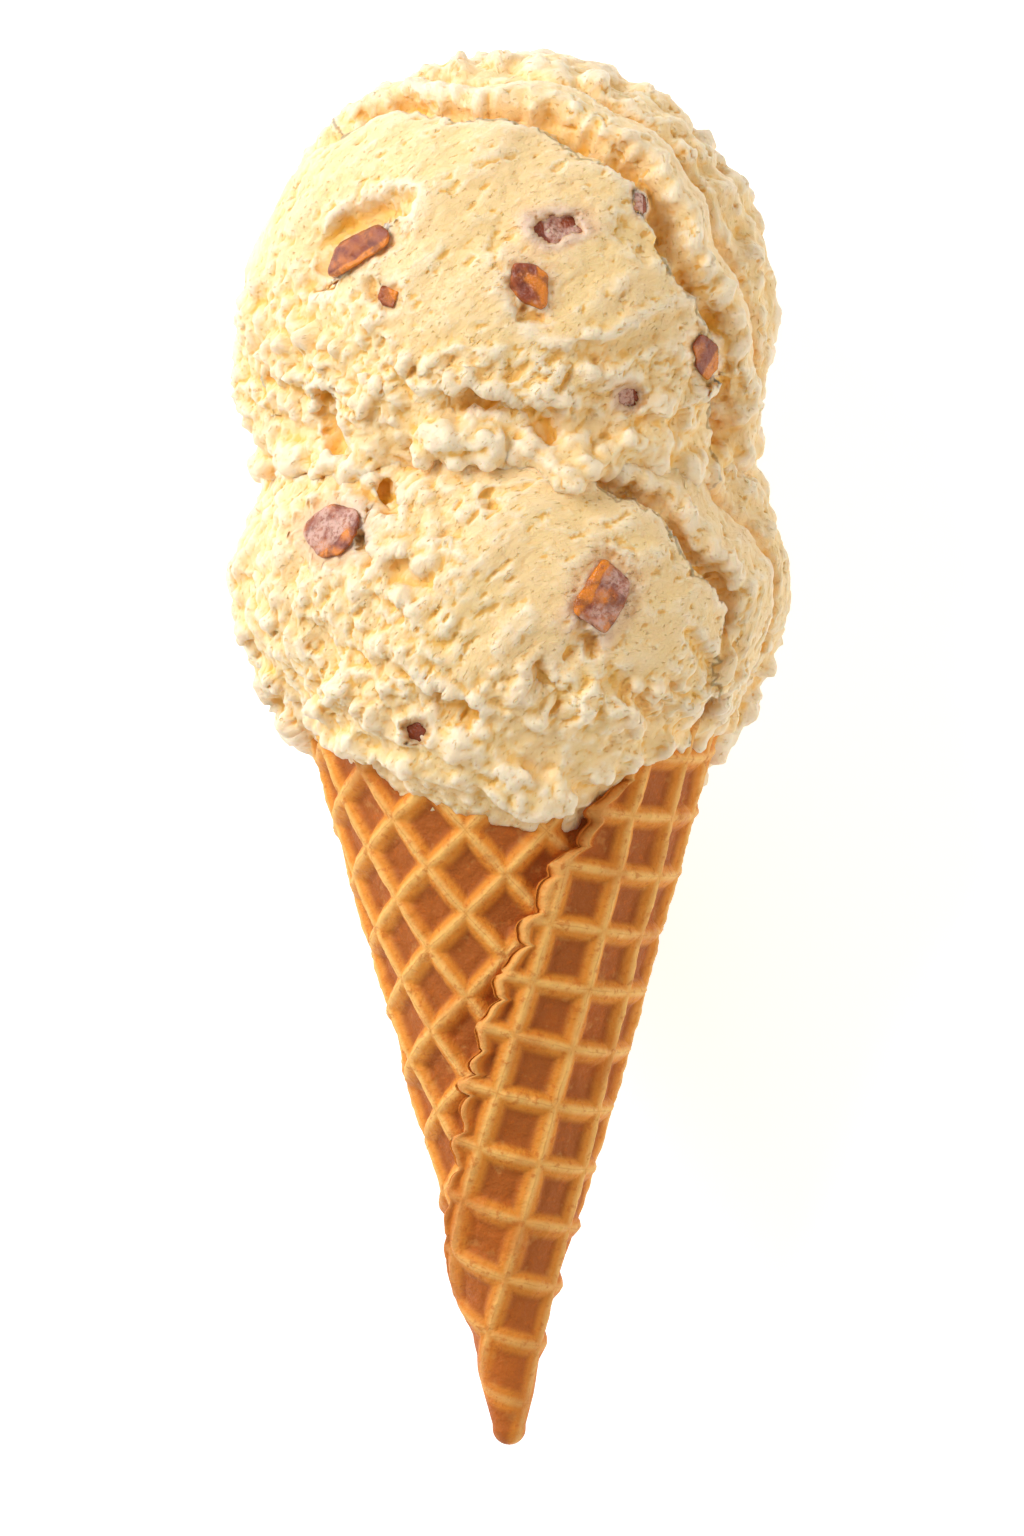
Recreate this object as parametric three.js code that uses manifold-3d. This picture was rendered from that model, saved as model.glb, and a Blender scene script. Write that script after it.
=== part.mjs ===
// Two scoops of praline ice cream in a rolled waffle cone, lying on its side.
// Millimetres. The cone points along -Y, the shown side faces +Z, and the origin is on the
// surface that it lies on, under the middle of its length and width.

import * as THREE from 'three';
import { mergeVertices } from 'three/addons/utils/BufferGeometryUtils.js';
import Module from 'manifold-3d';

const wasm = await Module();
wasm.setup();

// Driving dimensions
const AXIS_HEIGHT = 36.3;         // height of the cone's axis above the surface
const GAP = 0.3;                  // clearance between neighbouring pieces

// Cone, with lengths measured along its axis from the point where its sides would meet
const AXIS_X = -0.4;
const APEX_Y = -105.7;
const CONE_SLOPE = 0.2735;        // radius gained for each millimetre of length
const CONE_LENGTH = 111;          // to the rim, inside the lower scoop
const TIP_START = 5.8;            // the blunt tip
const TIP_ROUND = 2.4;            // length of the rounding at the tip
const WAFER = 2.6;                // step where the rolled sheet ends on top of itself
const MIDDLE_OF_STEP = 0.45;      // share of the step that stands outside the mean cone

// The sheet's outer edge winds round the cone: degrees from the shown side, right positive
const EDGE_TOP_LENGTH = 98.7;
const EDGE_TOP_TURN = 29.7;
const EDGE_LEAN = 1.33;           // degrees for each millimetre
const EDGE_CURL_LENGTH = 48;
const EDGE_CURL = 0.09;
const EDGE_SCALLOP = 2;           // degrees

// Waffle pattern, laid out on the flat sheet before it was rolled
const WAFFLE_PITCH = 8.75;
const RIDGE_WIDTH = 1.7;          // at its top
const POCKET_DEPTH = 1.5;
const POCKET_FLOOR = 0.56;        // share of the pocket's width
const POCKETS_START = 21;         // no pockets nearer the tip than this
const UNDER_LAYER = { turn: 45.5, crossing: [91.45, -12.97] };
const OUTER_LAYER = { turn: 16.3, crossing: [64.66, 9.17] };
const SEAT_OVER_EDGE = 0.45;      // in cells, how far a pocket of the outer layer may pass the edge
const SEAT_OVER_BACK = 0.3;       // in cells, how far the layers' pockets may pass the back
const SEAT_UNDER_EDGE = 0.1;      // in cells, how far one may reach under the edge
const SEAT_APART = 0.85;          // in pitches, least distance between pockets of two layers
const SEAT_REACH = 16;            // lines to each side of the crossing
const HOLE_LIFT = 0.4;            // how far a pocket's cutter stands over the sheet

// Scoops. Angles are degrees from the pole of the scraped layers, a little off the shown side.
const UPPER = {
  centre: [-0.7, 62.1],
  radius: 37.6,
  pole: [-0.317, -0.288, 0.904],
  layersTowards: [0.75, 0.65, 0.1],
  lip: 67,
  crest: 78,
  groove: 88,
  salt: 3,
};
const LOWER = {
  centre: [0.1, 21.8],
  radius: 38.4,
  pole: [-0.04, -0.433, 0.9],
  layersTowards: [0.97, 0.2, 0.1],
  lip: 55,
  crest: 63,
  groove: 77,
  salt: 11,
  top: 22.4,                      // height of its flattened top over its centre
};
const LIP_RISE = 0.9;
const LIP_WIDTH = 2;              // these widths are degrees from the pole
const TRENCH = 2.6;
const CREST_RISE = 0.5;
const CREST_WIDTH = 3;
const GROOVE_DEPTH = 2.2;
const GROOVE_WIDTH = 4;
const GROOVE_FOOT = 5;
const SHELL_DROP = 1.2;
const SHELL_WIDTH = 14;
const SHELL_END = 40;
const WEAKEST_LAYER = 0.25;       // share of the layers' height where they have faded
const FADE_START = 110;
const FADE_END = 160;
const TOP_DOME = 0.0014;

// Ragged skirts, pressed out where a scoop sits on what is below it: a rolled lip with lumps on it
const UPPER_SKIRT = { along: 43.2, radius: 32.6, roll: 4.2, ragged: 2.6, tilt: 0, lumps: 10, salt: 21 };
const LOWER_SKIRT = { along: 0.2, radius: 28.0, roll: 3.5, ragged: 2.4, tilt: 3.4, lumps: 9, salt: 43 };
const LUMP_SIZE = 4.4;
const CRAGS = 1.5;                // height of the crags towards a scoop's skirt
const CRAG_KEY = 61;              // more than the columns, so that each point draws its own crag

// Bulges and dents in the scoops' outlines: direction, half-angle and height
const UPPER_BULGES = [
  { towards: [-0.97, -0.24, 0], width: 15, rise: 3.4 },
  { towards: [0.97, -0.22, 0.1], width: 20, rise: 1.5 },
  { towards: [0.83, 0.56, 0], width: 17, rise: -2.2 },
  { towards: [-0.5, -0.75, 0.45], width: 16, rise: 1.2 },
  { towards: [-0.62, 0.35, 0.7], width: 9, rise: -1.6 },
  { towards: [0.3, 0.2, -0.93], width: 30, rise: -0.9 },
];
const LOWER_BULGES = [
  { towards: [-1, 0.03, 0.05], width: 15, rise: 3.6 },
  { towards: [0.98, 0.08, 0.1], width: 16, rise: 3.4 },
  { towards: [-0.8, -0.58, 0.1], width: 22, rise: -1.6 },
  { towards: [0.8, -0.58, 0.1], width: 22, rise: -1.4 },
  { towards: [-0.45, 0.35, 0.8], width: 12, rise: -1.2 },
  { towards: [0.2, -0.3, -0.93], width: 30, rise: -0.8 },
];

// Praline pieces: place seen from the shown side, size along, across and through, and turn
const PRALINES = [
  { scoop: UPPER, at: [-21.9, 71.8], size: [9.5, 4.4, 4.4], turn: 36, proud: 0.6, colour: 0xaa4b28 },
  { scoop: UPPER, at: [-17.6, 64.9], size: [3.6, 3.2, 3.2], turn: 60, proud: 0.5, colour: 0xaa4b28 },
  { scoop: UPPER, at: [2.3, 66.5], size: [7.2, 6.0, 5.4], turn: 75, proud: 0.5, colour: 0x9c4a1e },
  { scoop: UPPER, at: [6.3, 75.4], size: [8.2, 5.6, 5.0], turn: 20, proud: 0.5, colour: 0xd9a88e },
  { scoop: UPPER, at: [18.3, 78.3], size: [3.4, 2.4, 2.6], turn: 65, proud: 0.6, colour: 0xaa4b28 },
  { scoop: UPPER, at: [27.5, 56.5], size: [7.4, 4.0, 4.2], turn: 82, proud: 0.6, colour: 0xb5622f },
  { scoop: UPPER, at: [16.6, 50.5], size: [3.8, 3.2, 3.0], turn: 10, proud: 0.5, colour: 0xd9a88e },
  { scoop: LOWER, at: [-25.6, 31.6], size: [9.2, 8.2, 6.0], turn: 40, proud: 0.5, colour: 0xcf9478 },
  { scoop: LOWER, at: [13.1, 22.0], size: [10.8, 7.8, 6.0], turn: 62, proud: 0.5, colour: 0xd07a3a },
  { scoop: LOWER, at: [-13.8, 2.6], size: [3.4, 2.8, 2.8], turn: 0, proud: 0.6, colour: 0xaa4b28 },
];

const { degToRad, radToDeg, clamp, smoothstep } = THREE.MathUtils;
const FULL_TURN = 2 * Math.PI;
const CONE_LEAN = Math.atan(CONE_SLOPE);
const BLOCK = 300;                // side of the block that cuts the resting flats

// A repeatable draw between 0 and 1
function draw(number, salt) {
  const wave = Math.sin(number * 12.9898 + salt * 78.233) * 43758.5453;
  return wave - Math.floor(wave);
}

function between(low, high, number, salt) {
  return low + (high - low) * draw(number, salt);
}

// A closed mesh as a solid, and a solid as a mesh's geometry
function solid(geometry) {
  const plain = geometry.clone();
  plain.deleteAttribute('normal');
  plain.deleteAttribute('uv');
  const merged = mergeVertices(plain, 1e-4);
  return new wasm.Manifold(new wasm.Mesh({
    numProp: 3,
    vertProperties: merged.attributes.position.array,
    triVerts: new Uint32Array(merged.index.array),
  }));
}

// The largest of the bodies that a cut leaves, without loose scraps
function largest(shape) {
  const bodies = shape.decompose().sort((a, b) => b.volume() - a.volume());
  return bodies[0];
}

function geometryOf(shape) {
  const mesh = largest(shape).getMesh();
  const geometry = new THREE.BufferGeometry();
  geometry.setAttribute('position', new THREE.BufferAttribute(mesh.vertProperties, 3));
  geometry.setIndex(new THREE.BufferAttribute(mesh.triVerts, 1));
  geometry.computeVertexNormals();
  return geometry;
}

// A sphere's grid with each point moved to place(row, column), row 0 being one pole
function gridSolid(rows, columns, place) {
  const grid = new THREE.SphereGeometry(1, columns, rows);
  const positions = grid.attributes.position;
  for (let index = 0; index < positions.count; index += 1) {
    const row = Math.floor(index / (columns + 1));
    const column = index % (columns + 1) % columns;
    const point = place(row, column);
    positions.setXYZ(index, point.x, point.y, point.z);
  }
  return solid(grid);
}

// Rolled cone

function edgeTurn(length) {
  const curled = Math.max(0, EDGE_CURL_LENGTH - length);
  const scallop = EDGE_SCALLOP * Math.sin(length * FULL_TURN / WAFFLE_PITCH);
  return EDGE_TOP_TURN - EDGE_LEAN * (EDGE_TOP_LENGTH - length) - EDGE_CURL * curled ** 2 + scallop;
}

// Radius of the rolled sheet's outside, wound is the degrees past its edge
function coneRadius(length, wound) {
  const step = WAFER * smoothstep(length, TIP_START, EDGE_CURL_LENGTH);
  const round = Math.sqrt(clamp((length - TIP_START) / TIP_ROUND, 0, 1));
  return (CONE_SLOPE * length + step * (MIDDLE_OF_STEP - wound / 360)) * round;
}

function conePoint(length, turn, radius) {
  const angle = degToRad(turn);
  return new THREE.Vector3(
    AXIS_X + radius * Math.sin(angle),
    APEX_Y + length,
    AXIS_HEIGHT + radius * Math.cos(angle),
  );
}

function coneBody(grow) {
  const columns = 30;
  const wallRows = 8;
  const tipShares = [0.45, 0.1];
  const rows = wallRows + tipShares.length + 2;
  return gridSolid(rows, columns, (row, column) => {
    if (row === 0) {
      return conePoint(CONE_LENGTH + grow, 0, 0);
    }
    if (row === rows) {
      return conePoint(TIP_START - grow, 0, 0);
    }
    const tipRow = row - wallRows - 2;
    const wall = CONE_LENGTH - (CONE_LENGTH - TIP_START - TIP_ROUND) * (row - 1) / wallRows;
    const along = tipRow < 0 ? wall : TIP_START + TIP_ROUND * tipShares[tipRow];
    const length = row === 1 ? along + grow : along;
    const wound = 360 * column / (columns - 1);
    const radius = coneRadius(along, wound);
    const turn = edgeTurn(along) + wound - radToDeg(grow / radius);
    return conePoint(length, turn, radius + grow);
  });
}

// One pocket of the waffle: a square hole that narrows to its floor
function pocket(length, turn, wound, latticeTurn) {
  const half = (WAFFLE_PITCH - RIDGE_WIDTH) / 2 * Math.SQRT2;
  const spread = half * (1 - POCKET_FLOOR) / POCKET_DEPTH;
  const hole = new THREE.CylinderGeometry(
    half + HOLE_LIFT * spread, half * POCKET_FLOOR, POCKET_DEPTH + HOLE_LIFT, 4, 1,
  );
  hole.translate(0, (HOLE_LIFT - POCKET_DEPTH) / 2, 0);
  hole.rotateY(degToRad(45));
  const angle = degToRad(turn);
  const outward = new THREE.Vector3(
    Math.sin(angle) * Math.cos(CONE_LEAN),
    -Math.sin(CONE_LEAN),
    Math.cos(angle) * Math.cos(CONE_LEAN),
  );
  const uphill = new THREE.Vector3(
    Math.sin(angle) * Math.sin(CONE_LEAN),
    Math.cos(CONE_LEAN),
    Math.cos(angle) * Math.sin(CONE_LEAN),
  );
  const sideways = new THREE.Vector3().crossVectors(uphill, outward);
  const placed = new THREE.Matrix4().makeBasis(uphill, outward, sideways);
  hole.rotateY(-degToRad(latticeTurn));
  hole.applyMatrix4(placed);
  const foot = conePoint(length, turn, coneRadius(length, wound));
  hole.translate(foot.x, foot.y, foot.z);
  return solid(hole);
}

// The pockets of one layer of the sheet, none of them on top of those already placed
function pockets(layer, isOuter, placed) {
  const shapes = [];
  const axis = degToRad(layer.turn);
  for (let i = -SEAT_REACH; i <= SEAT_REACH; i += 1) {
    for (let j = -SEAT_REACH; j <= SEAT_REACH; j += 1) {
      const across = (i + 0.5) * WAFFLE_PITCH;
      const up = (j + 0.5) * WAFFLE_PITCH;
      const p = layer.crossing[0] + across * Math.cos(axis) - up * Math.sin(axis);
      const q = layer.crossing[1] + across * Math.sin(axis) + up * Math.cos(axis);
      const sheetTurn = Math.atan2(q, p);
      const length = Math.hypot(p, q) * Math.cos(CONE_LEAN);
      const turn = radToDeg(sheetTurn / Math.sin(CONE_LEAN));
      const fromEdge = turn - edgeTurn(length);
      const wound = isOuter ? fromEdge : fromEdge + 360;
      const cell = radToDeg(WAFFLE_PITCH / coneRadius(length, wound));
      const onSheet = isOuter
        ? fromEdge > -SEAT_OVER_EDGE * cell && turn < 180 + SEAT_OVER_BACK * cell
        : fromEdge < SEAT_UNDER_EDGE * cell && turn > -180 - SEAT_OVER_BACK * cell;
      const foot = conePoint(length, turn, coneRadius(length, wound));
      const apart = (other) => other.distanceTo(foot) > SEAT_APART * WAFFLE_PITCH;
      const free = isOuter || placed.every(apart);
      const inLength = length > POCKETS_START && length < CONE_LENGTH - WAFFLE_PITCH;
      if (onSheet && free && inLength) {
        if (isOuter && Math.abs(turn) > 90) {
          placed.push(foot);
        }
        shapes.push(pocket(length, turn, wound, layer.turn - radToDeg(sheetTurn)));
      }
    }
  }
  return shapes;
}

function waffleCone() {
  const placed = [];
  const outer = pockets(OUTER_LAYER, true, placed);
  const holes = [...outer, ...pockets(UNDER_LAYER, false, placed)];
  return coneBody(0).subtract(wasm.Manifold.union(holes));
}

// Scoops

// Height of the scraped layers over the ball, by angle from their pole
function layerHeight(scoop, fromPole) {
  const profile = [
    [0, LIP_RISE],
    [scoop.lip, LIP_RISE],
    [scoop.lip + LIP_WIDTH, LIP_RISE - TRENCH],
    [scoop.crest - CREST_WIDTH, CREST_RISE - 1],
    [scoop.crest, CREST_RISE],
    [scoop.groove - GROOVE_WIDTH, 0],
    [scoop.groove, -GROOVE_DEPTH],
    [scoop.groove + GROOVE_FOOT, -SHELL_DROP / 3],
    [scoop.groove + SHELL_WIDTH, -SHELL_DROP],
    [scoop.groove + SHELL_END, 0],
    [180, 0],
  ];
  const next = profile.findIndex(([angle], index) => index > 0 && fromPole <= angle);
  const [angleA, heightA] = profile[next - 1];
  const [angleB, heightB] = profile[next];
  return heightA + (heightB - heightA) * (fromPole - angleA) / (angleB - angleA);
}

// Rings closer together where the layers' edges are
function ringAngles(scoop) {
  const dome = [0.2, 0.38, 0.54, 0.68, 0.8, 0.91].map((share) => share * scoop.lip);
  const foot = scoop.groove + GROOVE_FOOT;
  const edges = [
    scoop.lip,
    scoop.lip + LIP_WIDTH,
    scoop.crest - CREST_WIDTH,
    scoop.crest,
    scoop.groove - GROOVE_WIDTH,
    scoop.groove,
    foot,
  ];
  const shell = [];
  const shellRings = 10;
  for (let ring = 1; ring <= shellRings; ring += 1) {
    shell.push(foot + (180 - foot) * ring / (shellRings + 1));
  }
  return [0, ...dome, ...edges, ...shell, 180];
}

// Sum of a few slow waves: the layers' edges wander, and the ball has shallow swells
function edgeWander(turn, salt) {
  return 2.6 * Math.sin(2 * turn + salt)
    + 1.9 * Math.sin(5 * turn + 2 * salt)
    + 1.4 * Math.sin(11 * turn + 3 * salt);
}

function swell(point, salt) {
  const { x, y, z } = point;
  return 0.45 * Math.sin(6 * x + 3 * y + salt)
    + 0.4 * Math.sin(7 * y - 4 * z + 2 * salt)
    + 0.35 * Math.sin(9 * z + 5 * x + 3 * salt)
    + 0.3 * Math.sin(13 * x - 11 * y + salt);
}

function scoopBall(scoop, bulges, grow) {
  const pole = new THREE.Vector3(...scoop.pole).normalize();
  const towards = new THREE.Vector3(...scoop.layersTowards).normalize();
  const side = new THREE.Vector3(1, 0, 0).addScaledVector(pole, -pole.x).normalize();
  const third = new THREE.Vector3().crossVectors(side, pole);
  const rings = ringAngles(scoop);
  const columns = 34;
  const centre = new THREE.Vector3(scoop.centre[0], scoop.centre[1], AXIS_HEIGHT);
  const swells = bulges.map((bulge) => ({
    towards: new THREE.Vector3(...bulge.towards).normalize(),
    width: bulge.width,
    rise: bulge.rise,
  }));
  return gridSolid(rings.length - 1, columns, (row, column) => {
    const plainAngle = rings[row];
    const spoke = row === 0 || row === rings.length - 1 ? 0 : column;
    const turn = FULL_TURN * spoke / columns;
    const nearLip = smoothstep(plainAngle, scoop.lip * 0.4, scoop.lip);
    const near = nearLip * (1 - smoothstep(plainAngle, FADE_START, FADE_END));
    const angle = degToRad(plainAngle + near * edgeWander(turn, scoop.salt));
    const direction = pole.clone().multiplyScalar(Math.cos(angle))
      .addScaledVector(side, -Math.sin(angle) * Math.cos(turn))
      .addScaledVector(third, Math.sin(angle) * Math.sin(turn));
    const facing = smoothstep(direction.dot(towards), -0.45, 0.3);
    const strength = WEAKEST_LAYER + (1 - WEAKEST_LAYER) * facing;
    let radius = scoop.radius + grow + strength * layerHeight(scoop, plainAngle);
    radius += swell(direction, scoop.salt);
    const craggy = smoothstep(-direction.y, -0.1, 0.35) * Math.sin(angle) ** 2;
    radius += CRAGS * craggy * (draw(row * CRAG_KEY + spoke, scoop.salt) - 0.5);
    for (const bulge of swells) {
      const away = direction.angleTo(bulge.towards) / degToRad(bulge.width);
      radius += bulge.rise * Math.exp(-away * away);
    }
    if (scoop.top && direction.y > 0) {
      for (let pass = 0; pass < 4; pass += 1) {
        const across = radius * Math.sqrt(1 - direction.y ** 2);
        const top = scoop.top + grow - TOP_DOME * across ** 2;
        radius = Math.min(radius, top / direction.y);
      }
    }
    return direction.multiplyScalar(radius).add(centre);
  });
}

function lump(centre, size, number, salt, grow) {
  const shape = new THREE.IcosahedronGeometry(1, 1);
  shape.scale(
    size * between(0.85, 1.25, number, salt + 5) + grow,
    size * between(0.6, 0.95, number, salt + 6) + grow,
    size * between(0.8, 1.1, number, salt + 7) + grow,
  );
  shape.rotateX(FULL_TURN * draw(number, salt + 8));
  shape.rotateZ(FULL_TURN * draw(number, salt + 9));
  shape.translate(centre.x, centre.y, centre.z);
  return solid(shape);
}

function skirtDrop(skirt, turn) {
  const waves = Math.sin(3 * turn + skirt.salt)
    + 0.8 * Math.sin(7 * turn + 2 * skirt.salt)
    + 0.6 * Math.sin(12 * turn + 3 * skirt.salt);
  return skirt.ragged * waves / 2 - skirt.tilt * Math.cos(turn);
}

function skirtRoll(skirt, grow) {
  const around = 44;
  const section = 7;
  const ring = new THREE.TorusGeometry(1, 0.5, section, around);
  const positions = ring.attributes.position;
  for (let index = 0; index < positions.count; index += 1) {
    const spoke = index % (around + 1) % around;
    const turn = FULL_TURN * spoke / around;
    const step = Math.floor(index / (around + 1)) % section;
    const sectionTurn = FULL_TURN * step / section;
    const lumpy = between(0.72, 1.12, spoke * section + step, skirt.salt);
    const roll = skirt.roll * (lumpy + 0.2 * Math.sin(5 * turn + skirt.salt)) + grow;
    const radius = skirt.radius + roll * Math.cos(sectionTurn);
    const along = skirt.along + skirtDrop(skirt, turn) + roll * Math.sin(sectionTurn);
    positions.setXYZ(
      index, AXIS_X + radius * Math.sin(turn), along, AXIS_HEIGHT + radius * Math.cos(turn),
    );
  }
  return solid(ring);
}

function skirtShapes(skirt, grow) {
  const shapes = [skirtRoll(skirt, grow)];
  for (let number = 0; number < skirt.lumps; number += 1) {
    const turn = FULL_TURN * (number + 0.7 * draw(number, skirt.salt)) / skirt.lumps;
    const radius = skirt.radius + 1.5 * draw(number, skirt.salt + 1);
    const size = LUMP_SIZE * between(0.7, 1.3, number, skirt.salt + 3);
    const along = skirt.along + skirtDrop(skirt, turn) + 2.5 * (draw(number, skirt.salt + 2) - 0.3);
    const centre = new THREE.Vector3(
      AXIS_X + radius * Math.sin(turn), along, AXIS_HEIGHT + radius * Math.cos(turn),
    );
    shapes.push(lump(centre, size, number, skirt.salt, grow));
  }
  return shapes;
}

function restingFlat() {
  const block = new THREE.BoxGeometry(BLOCK, BLOCK, BLOCK);
  block.translate(0, 0, -BLOCK / 2);
  return solid(block);
}

// Praline pieces

function pralineShape(piece, number, grow) {
  const { scoop, at, size, turn, proud } = piece;
  const shape = new THREE.IcosahedronGeometry(1, 1);
  const positions = shape.attributes.position;
  for (let index = 0; index < positions.count; index += 1) {
    const x = positions.getX(index);
    const y = positions.getY(index);
    const z = positions.getZ(index);
    // The same number for all copies of a corner
    const key = Math.round(x * 50) * 7 + Math.round(y * 50) * 13 + Math.round(z * 50) * 29;
    const chip = between(0.86, 1.1, key, 60 + number);
    positions.setXYZ(
      index,
      x * chip * (size[0] / 2) + Math.sign(x) * grow,
      y * chip * (size[1] / 2) + Math.sign(y) * grow,
      z * chip * (size[2] / 2) + Math.sign(z) * grow,
    );
  }
  const across = at[0] - scoop.centre[0];
  const up = at[1] - scoop.centre[1];
  const outer = scoop.radius + LIP_RISE;
  const out = Math.sqrt(outer ** 2 - across ** 2 - up ** 2);
  const outward = new THREE.Vector3(across, up, out).normalize();
  shape.rotateZ(degToRad(turn));
  const upward = new THREE.Vector3(0, 0, 1);
  shape.applyQuaternion(new THREE.Quaternion().setFromUnitVectors(upward, outward));
  const depth = outer + (proud - 0.5) * size[2] * 0.5;
  shape.translate(
    scoop.centre[0] + outward.x * depth,
    scoop.centre[1] + outward.y * depth,
    AXIS_HEIGHT + outward.z * depth,
  );
  return solid(shape);
}

function pralineBeds(scoop) {
  const beds = PRALINES.map((piece, number) => ({ piece, number }))
    .filter(({ piece }) => piece.scoop === scoop)
    .map(({ piece, number }) => pralineShape(piece, number, GAP));
  return wasm.Manifold.union(beds);
}

function lowerScoop(grow) {
  const ball = scoopBall(LOWER, LOWER_BULGES, grow);
  return wasm.Manifold.union([ball, ...skirtShapes(LOWER_SKIRT, grow)]);
}

function upperScoop() {
  const ball = scoopBall(UPPER, UPPER_BULGES, 0);
  return wasm.Manifold.union([ball, ...skirtShapes(UPPER_SKIRT, 0)]);
}

function piece(name, shape, colour, roughness) {
  const material = new THREE.MeshStandardMaterial({ color: colour, roughness, metalness: 0 });
  const mesh = new THREE.Mesh(geometryOf(shape), material);
  mesh.name = name;
  return mesh;
}

const flat = restingFlat();
const cone = waffleCone();
const lower = lowerScoop(0).subtract(coneBody(GAP)).subtract(flat).subtract(pralineBeds(LOWER));
const upper = upperScoop().subtract(lowerScoop(GAP)).subtract(flat).subtract(pralineBeds(UPPER));

const iceCreamCone = new THREE.Group();
iceCreamCone.add(piece('waffle_cone', cone, 0xd28c46, 0.7));
iceCreamCone.add(piece('scoop_lower', lower, 0xf7e0b4, 0.5));
iceCreamCone.add(piece('scoop_upper', upper, 0xf8e3ba, 0.5));
PRALINES.forEach((praline, number) => {
  const name = `praline_${String(number + 1).padStart(2, '0')}`;
  iceCreamCone.add(piece(name, pralineShape(praline, number, 0), praline.colour, 0.35));
});

export default iceCreamCone;
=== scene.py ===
"""Looks of an ice cream cone that lies on its side: rolled wafer, two scoops and praline pieces."""

import itertools
import math
from collections import namedtuple

import bmesh
import bpy
import numpy as np
from bpy.props import FloatProperty, FloatVectorProperty, IntProperty, PointerProperty
from bpy.types import Operator, Panel, PropertyGroup
from mathutils import Matrix, Vector


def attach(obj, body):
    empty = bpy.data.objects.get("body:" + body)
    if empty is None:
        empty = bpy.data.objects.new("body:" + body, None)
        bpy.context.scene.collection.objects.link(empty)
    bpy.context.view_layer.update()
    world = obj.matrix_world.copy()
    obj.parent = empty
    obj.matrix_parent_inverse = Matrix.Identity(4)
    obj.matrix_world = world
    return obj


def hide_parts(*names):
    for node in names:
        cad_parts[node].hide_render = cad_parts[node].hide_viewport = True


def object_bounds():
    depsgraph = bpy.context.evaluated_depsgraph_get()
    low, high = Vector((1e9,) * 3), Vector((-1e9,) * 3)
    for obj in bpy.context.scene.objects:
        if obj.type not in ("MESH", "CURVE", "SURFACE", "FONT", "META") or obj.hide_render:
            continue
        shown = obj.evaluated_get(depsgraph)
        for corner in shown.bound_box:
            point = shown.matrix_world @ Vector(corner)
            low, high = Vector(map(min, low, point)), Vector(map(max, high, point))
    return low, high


bl_info = {
    "name": "Praline ice cream cone",
    "version": (1, 0, 0),
    "blender": (4, 5, 0),
    "location": "View3D > Sidebar > Ice cream",
    "description": "Models a rolled waffle cone with scoops of praline ice cream on a pale table",
    "category": "Add Mesh",
}

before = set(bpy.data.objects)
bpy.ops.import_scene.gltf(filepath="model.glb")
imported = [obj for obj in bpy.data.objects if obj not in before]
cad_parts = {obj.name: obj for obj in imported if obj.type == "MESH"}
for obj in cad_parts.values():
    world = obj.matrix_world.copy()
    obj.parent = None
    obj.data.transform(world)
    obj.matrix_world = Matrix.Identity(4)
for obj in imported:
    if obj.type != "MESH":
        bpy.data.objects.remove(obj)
CAD_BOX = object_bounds()

# Meshes are shaped in millimetres and brought to metres when they are finished
METRE = 0.001
BODY = "root"

# Places of the pieces, in millimetres, as in the solids
AXIS_HEIGHT = 36.3
AXIS_X = -0.4
APEX_Y = -105.7
CONE_SLOPE = 0.2735
CONE_LEAN = math.atan(CONE_SLOPE)
CONE_LENGTH = 111.0
TIP_START = 5.8
TIP_ROUND = 2.4
TIP_RADIUS = 2.4
WAFER = 2.6
MIDDLE_OF_STEP = 0.45

# The sheet's outer edge winds round the cone, in degrees from the shown side
EDGE_TOP_LENGTH = 98.7
EDGE_TOP_TURN = 29.7
EDGE_LEAN = 1.33
EDGE_CURL_LENGTH = 48.0
EDGE_CURL = 0.09

# Waffle pattern on the flat sheet: the turn of its lines and one crossing of them
UNDER_LAYER = (45.5, (91.45, -12.97))
OUTER_LAYER = (16.3, (64.66, 9.17))

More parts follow.
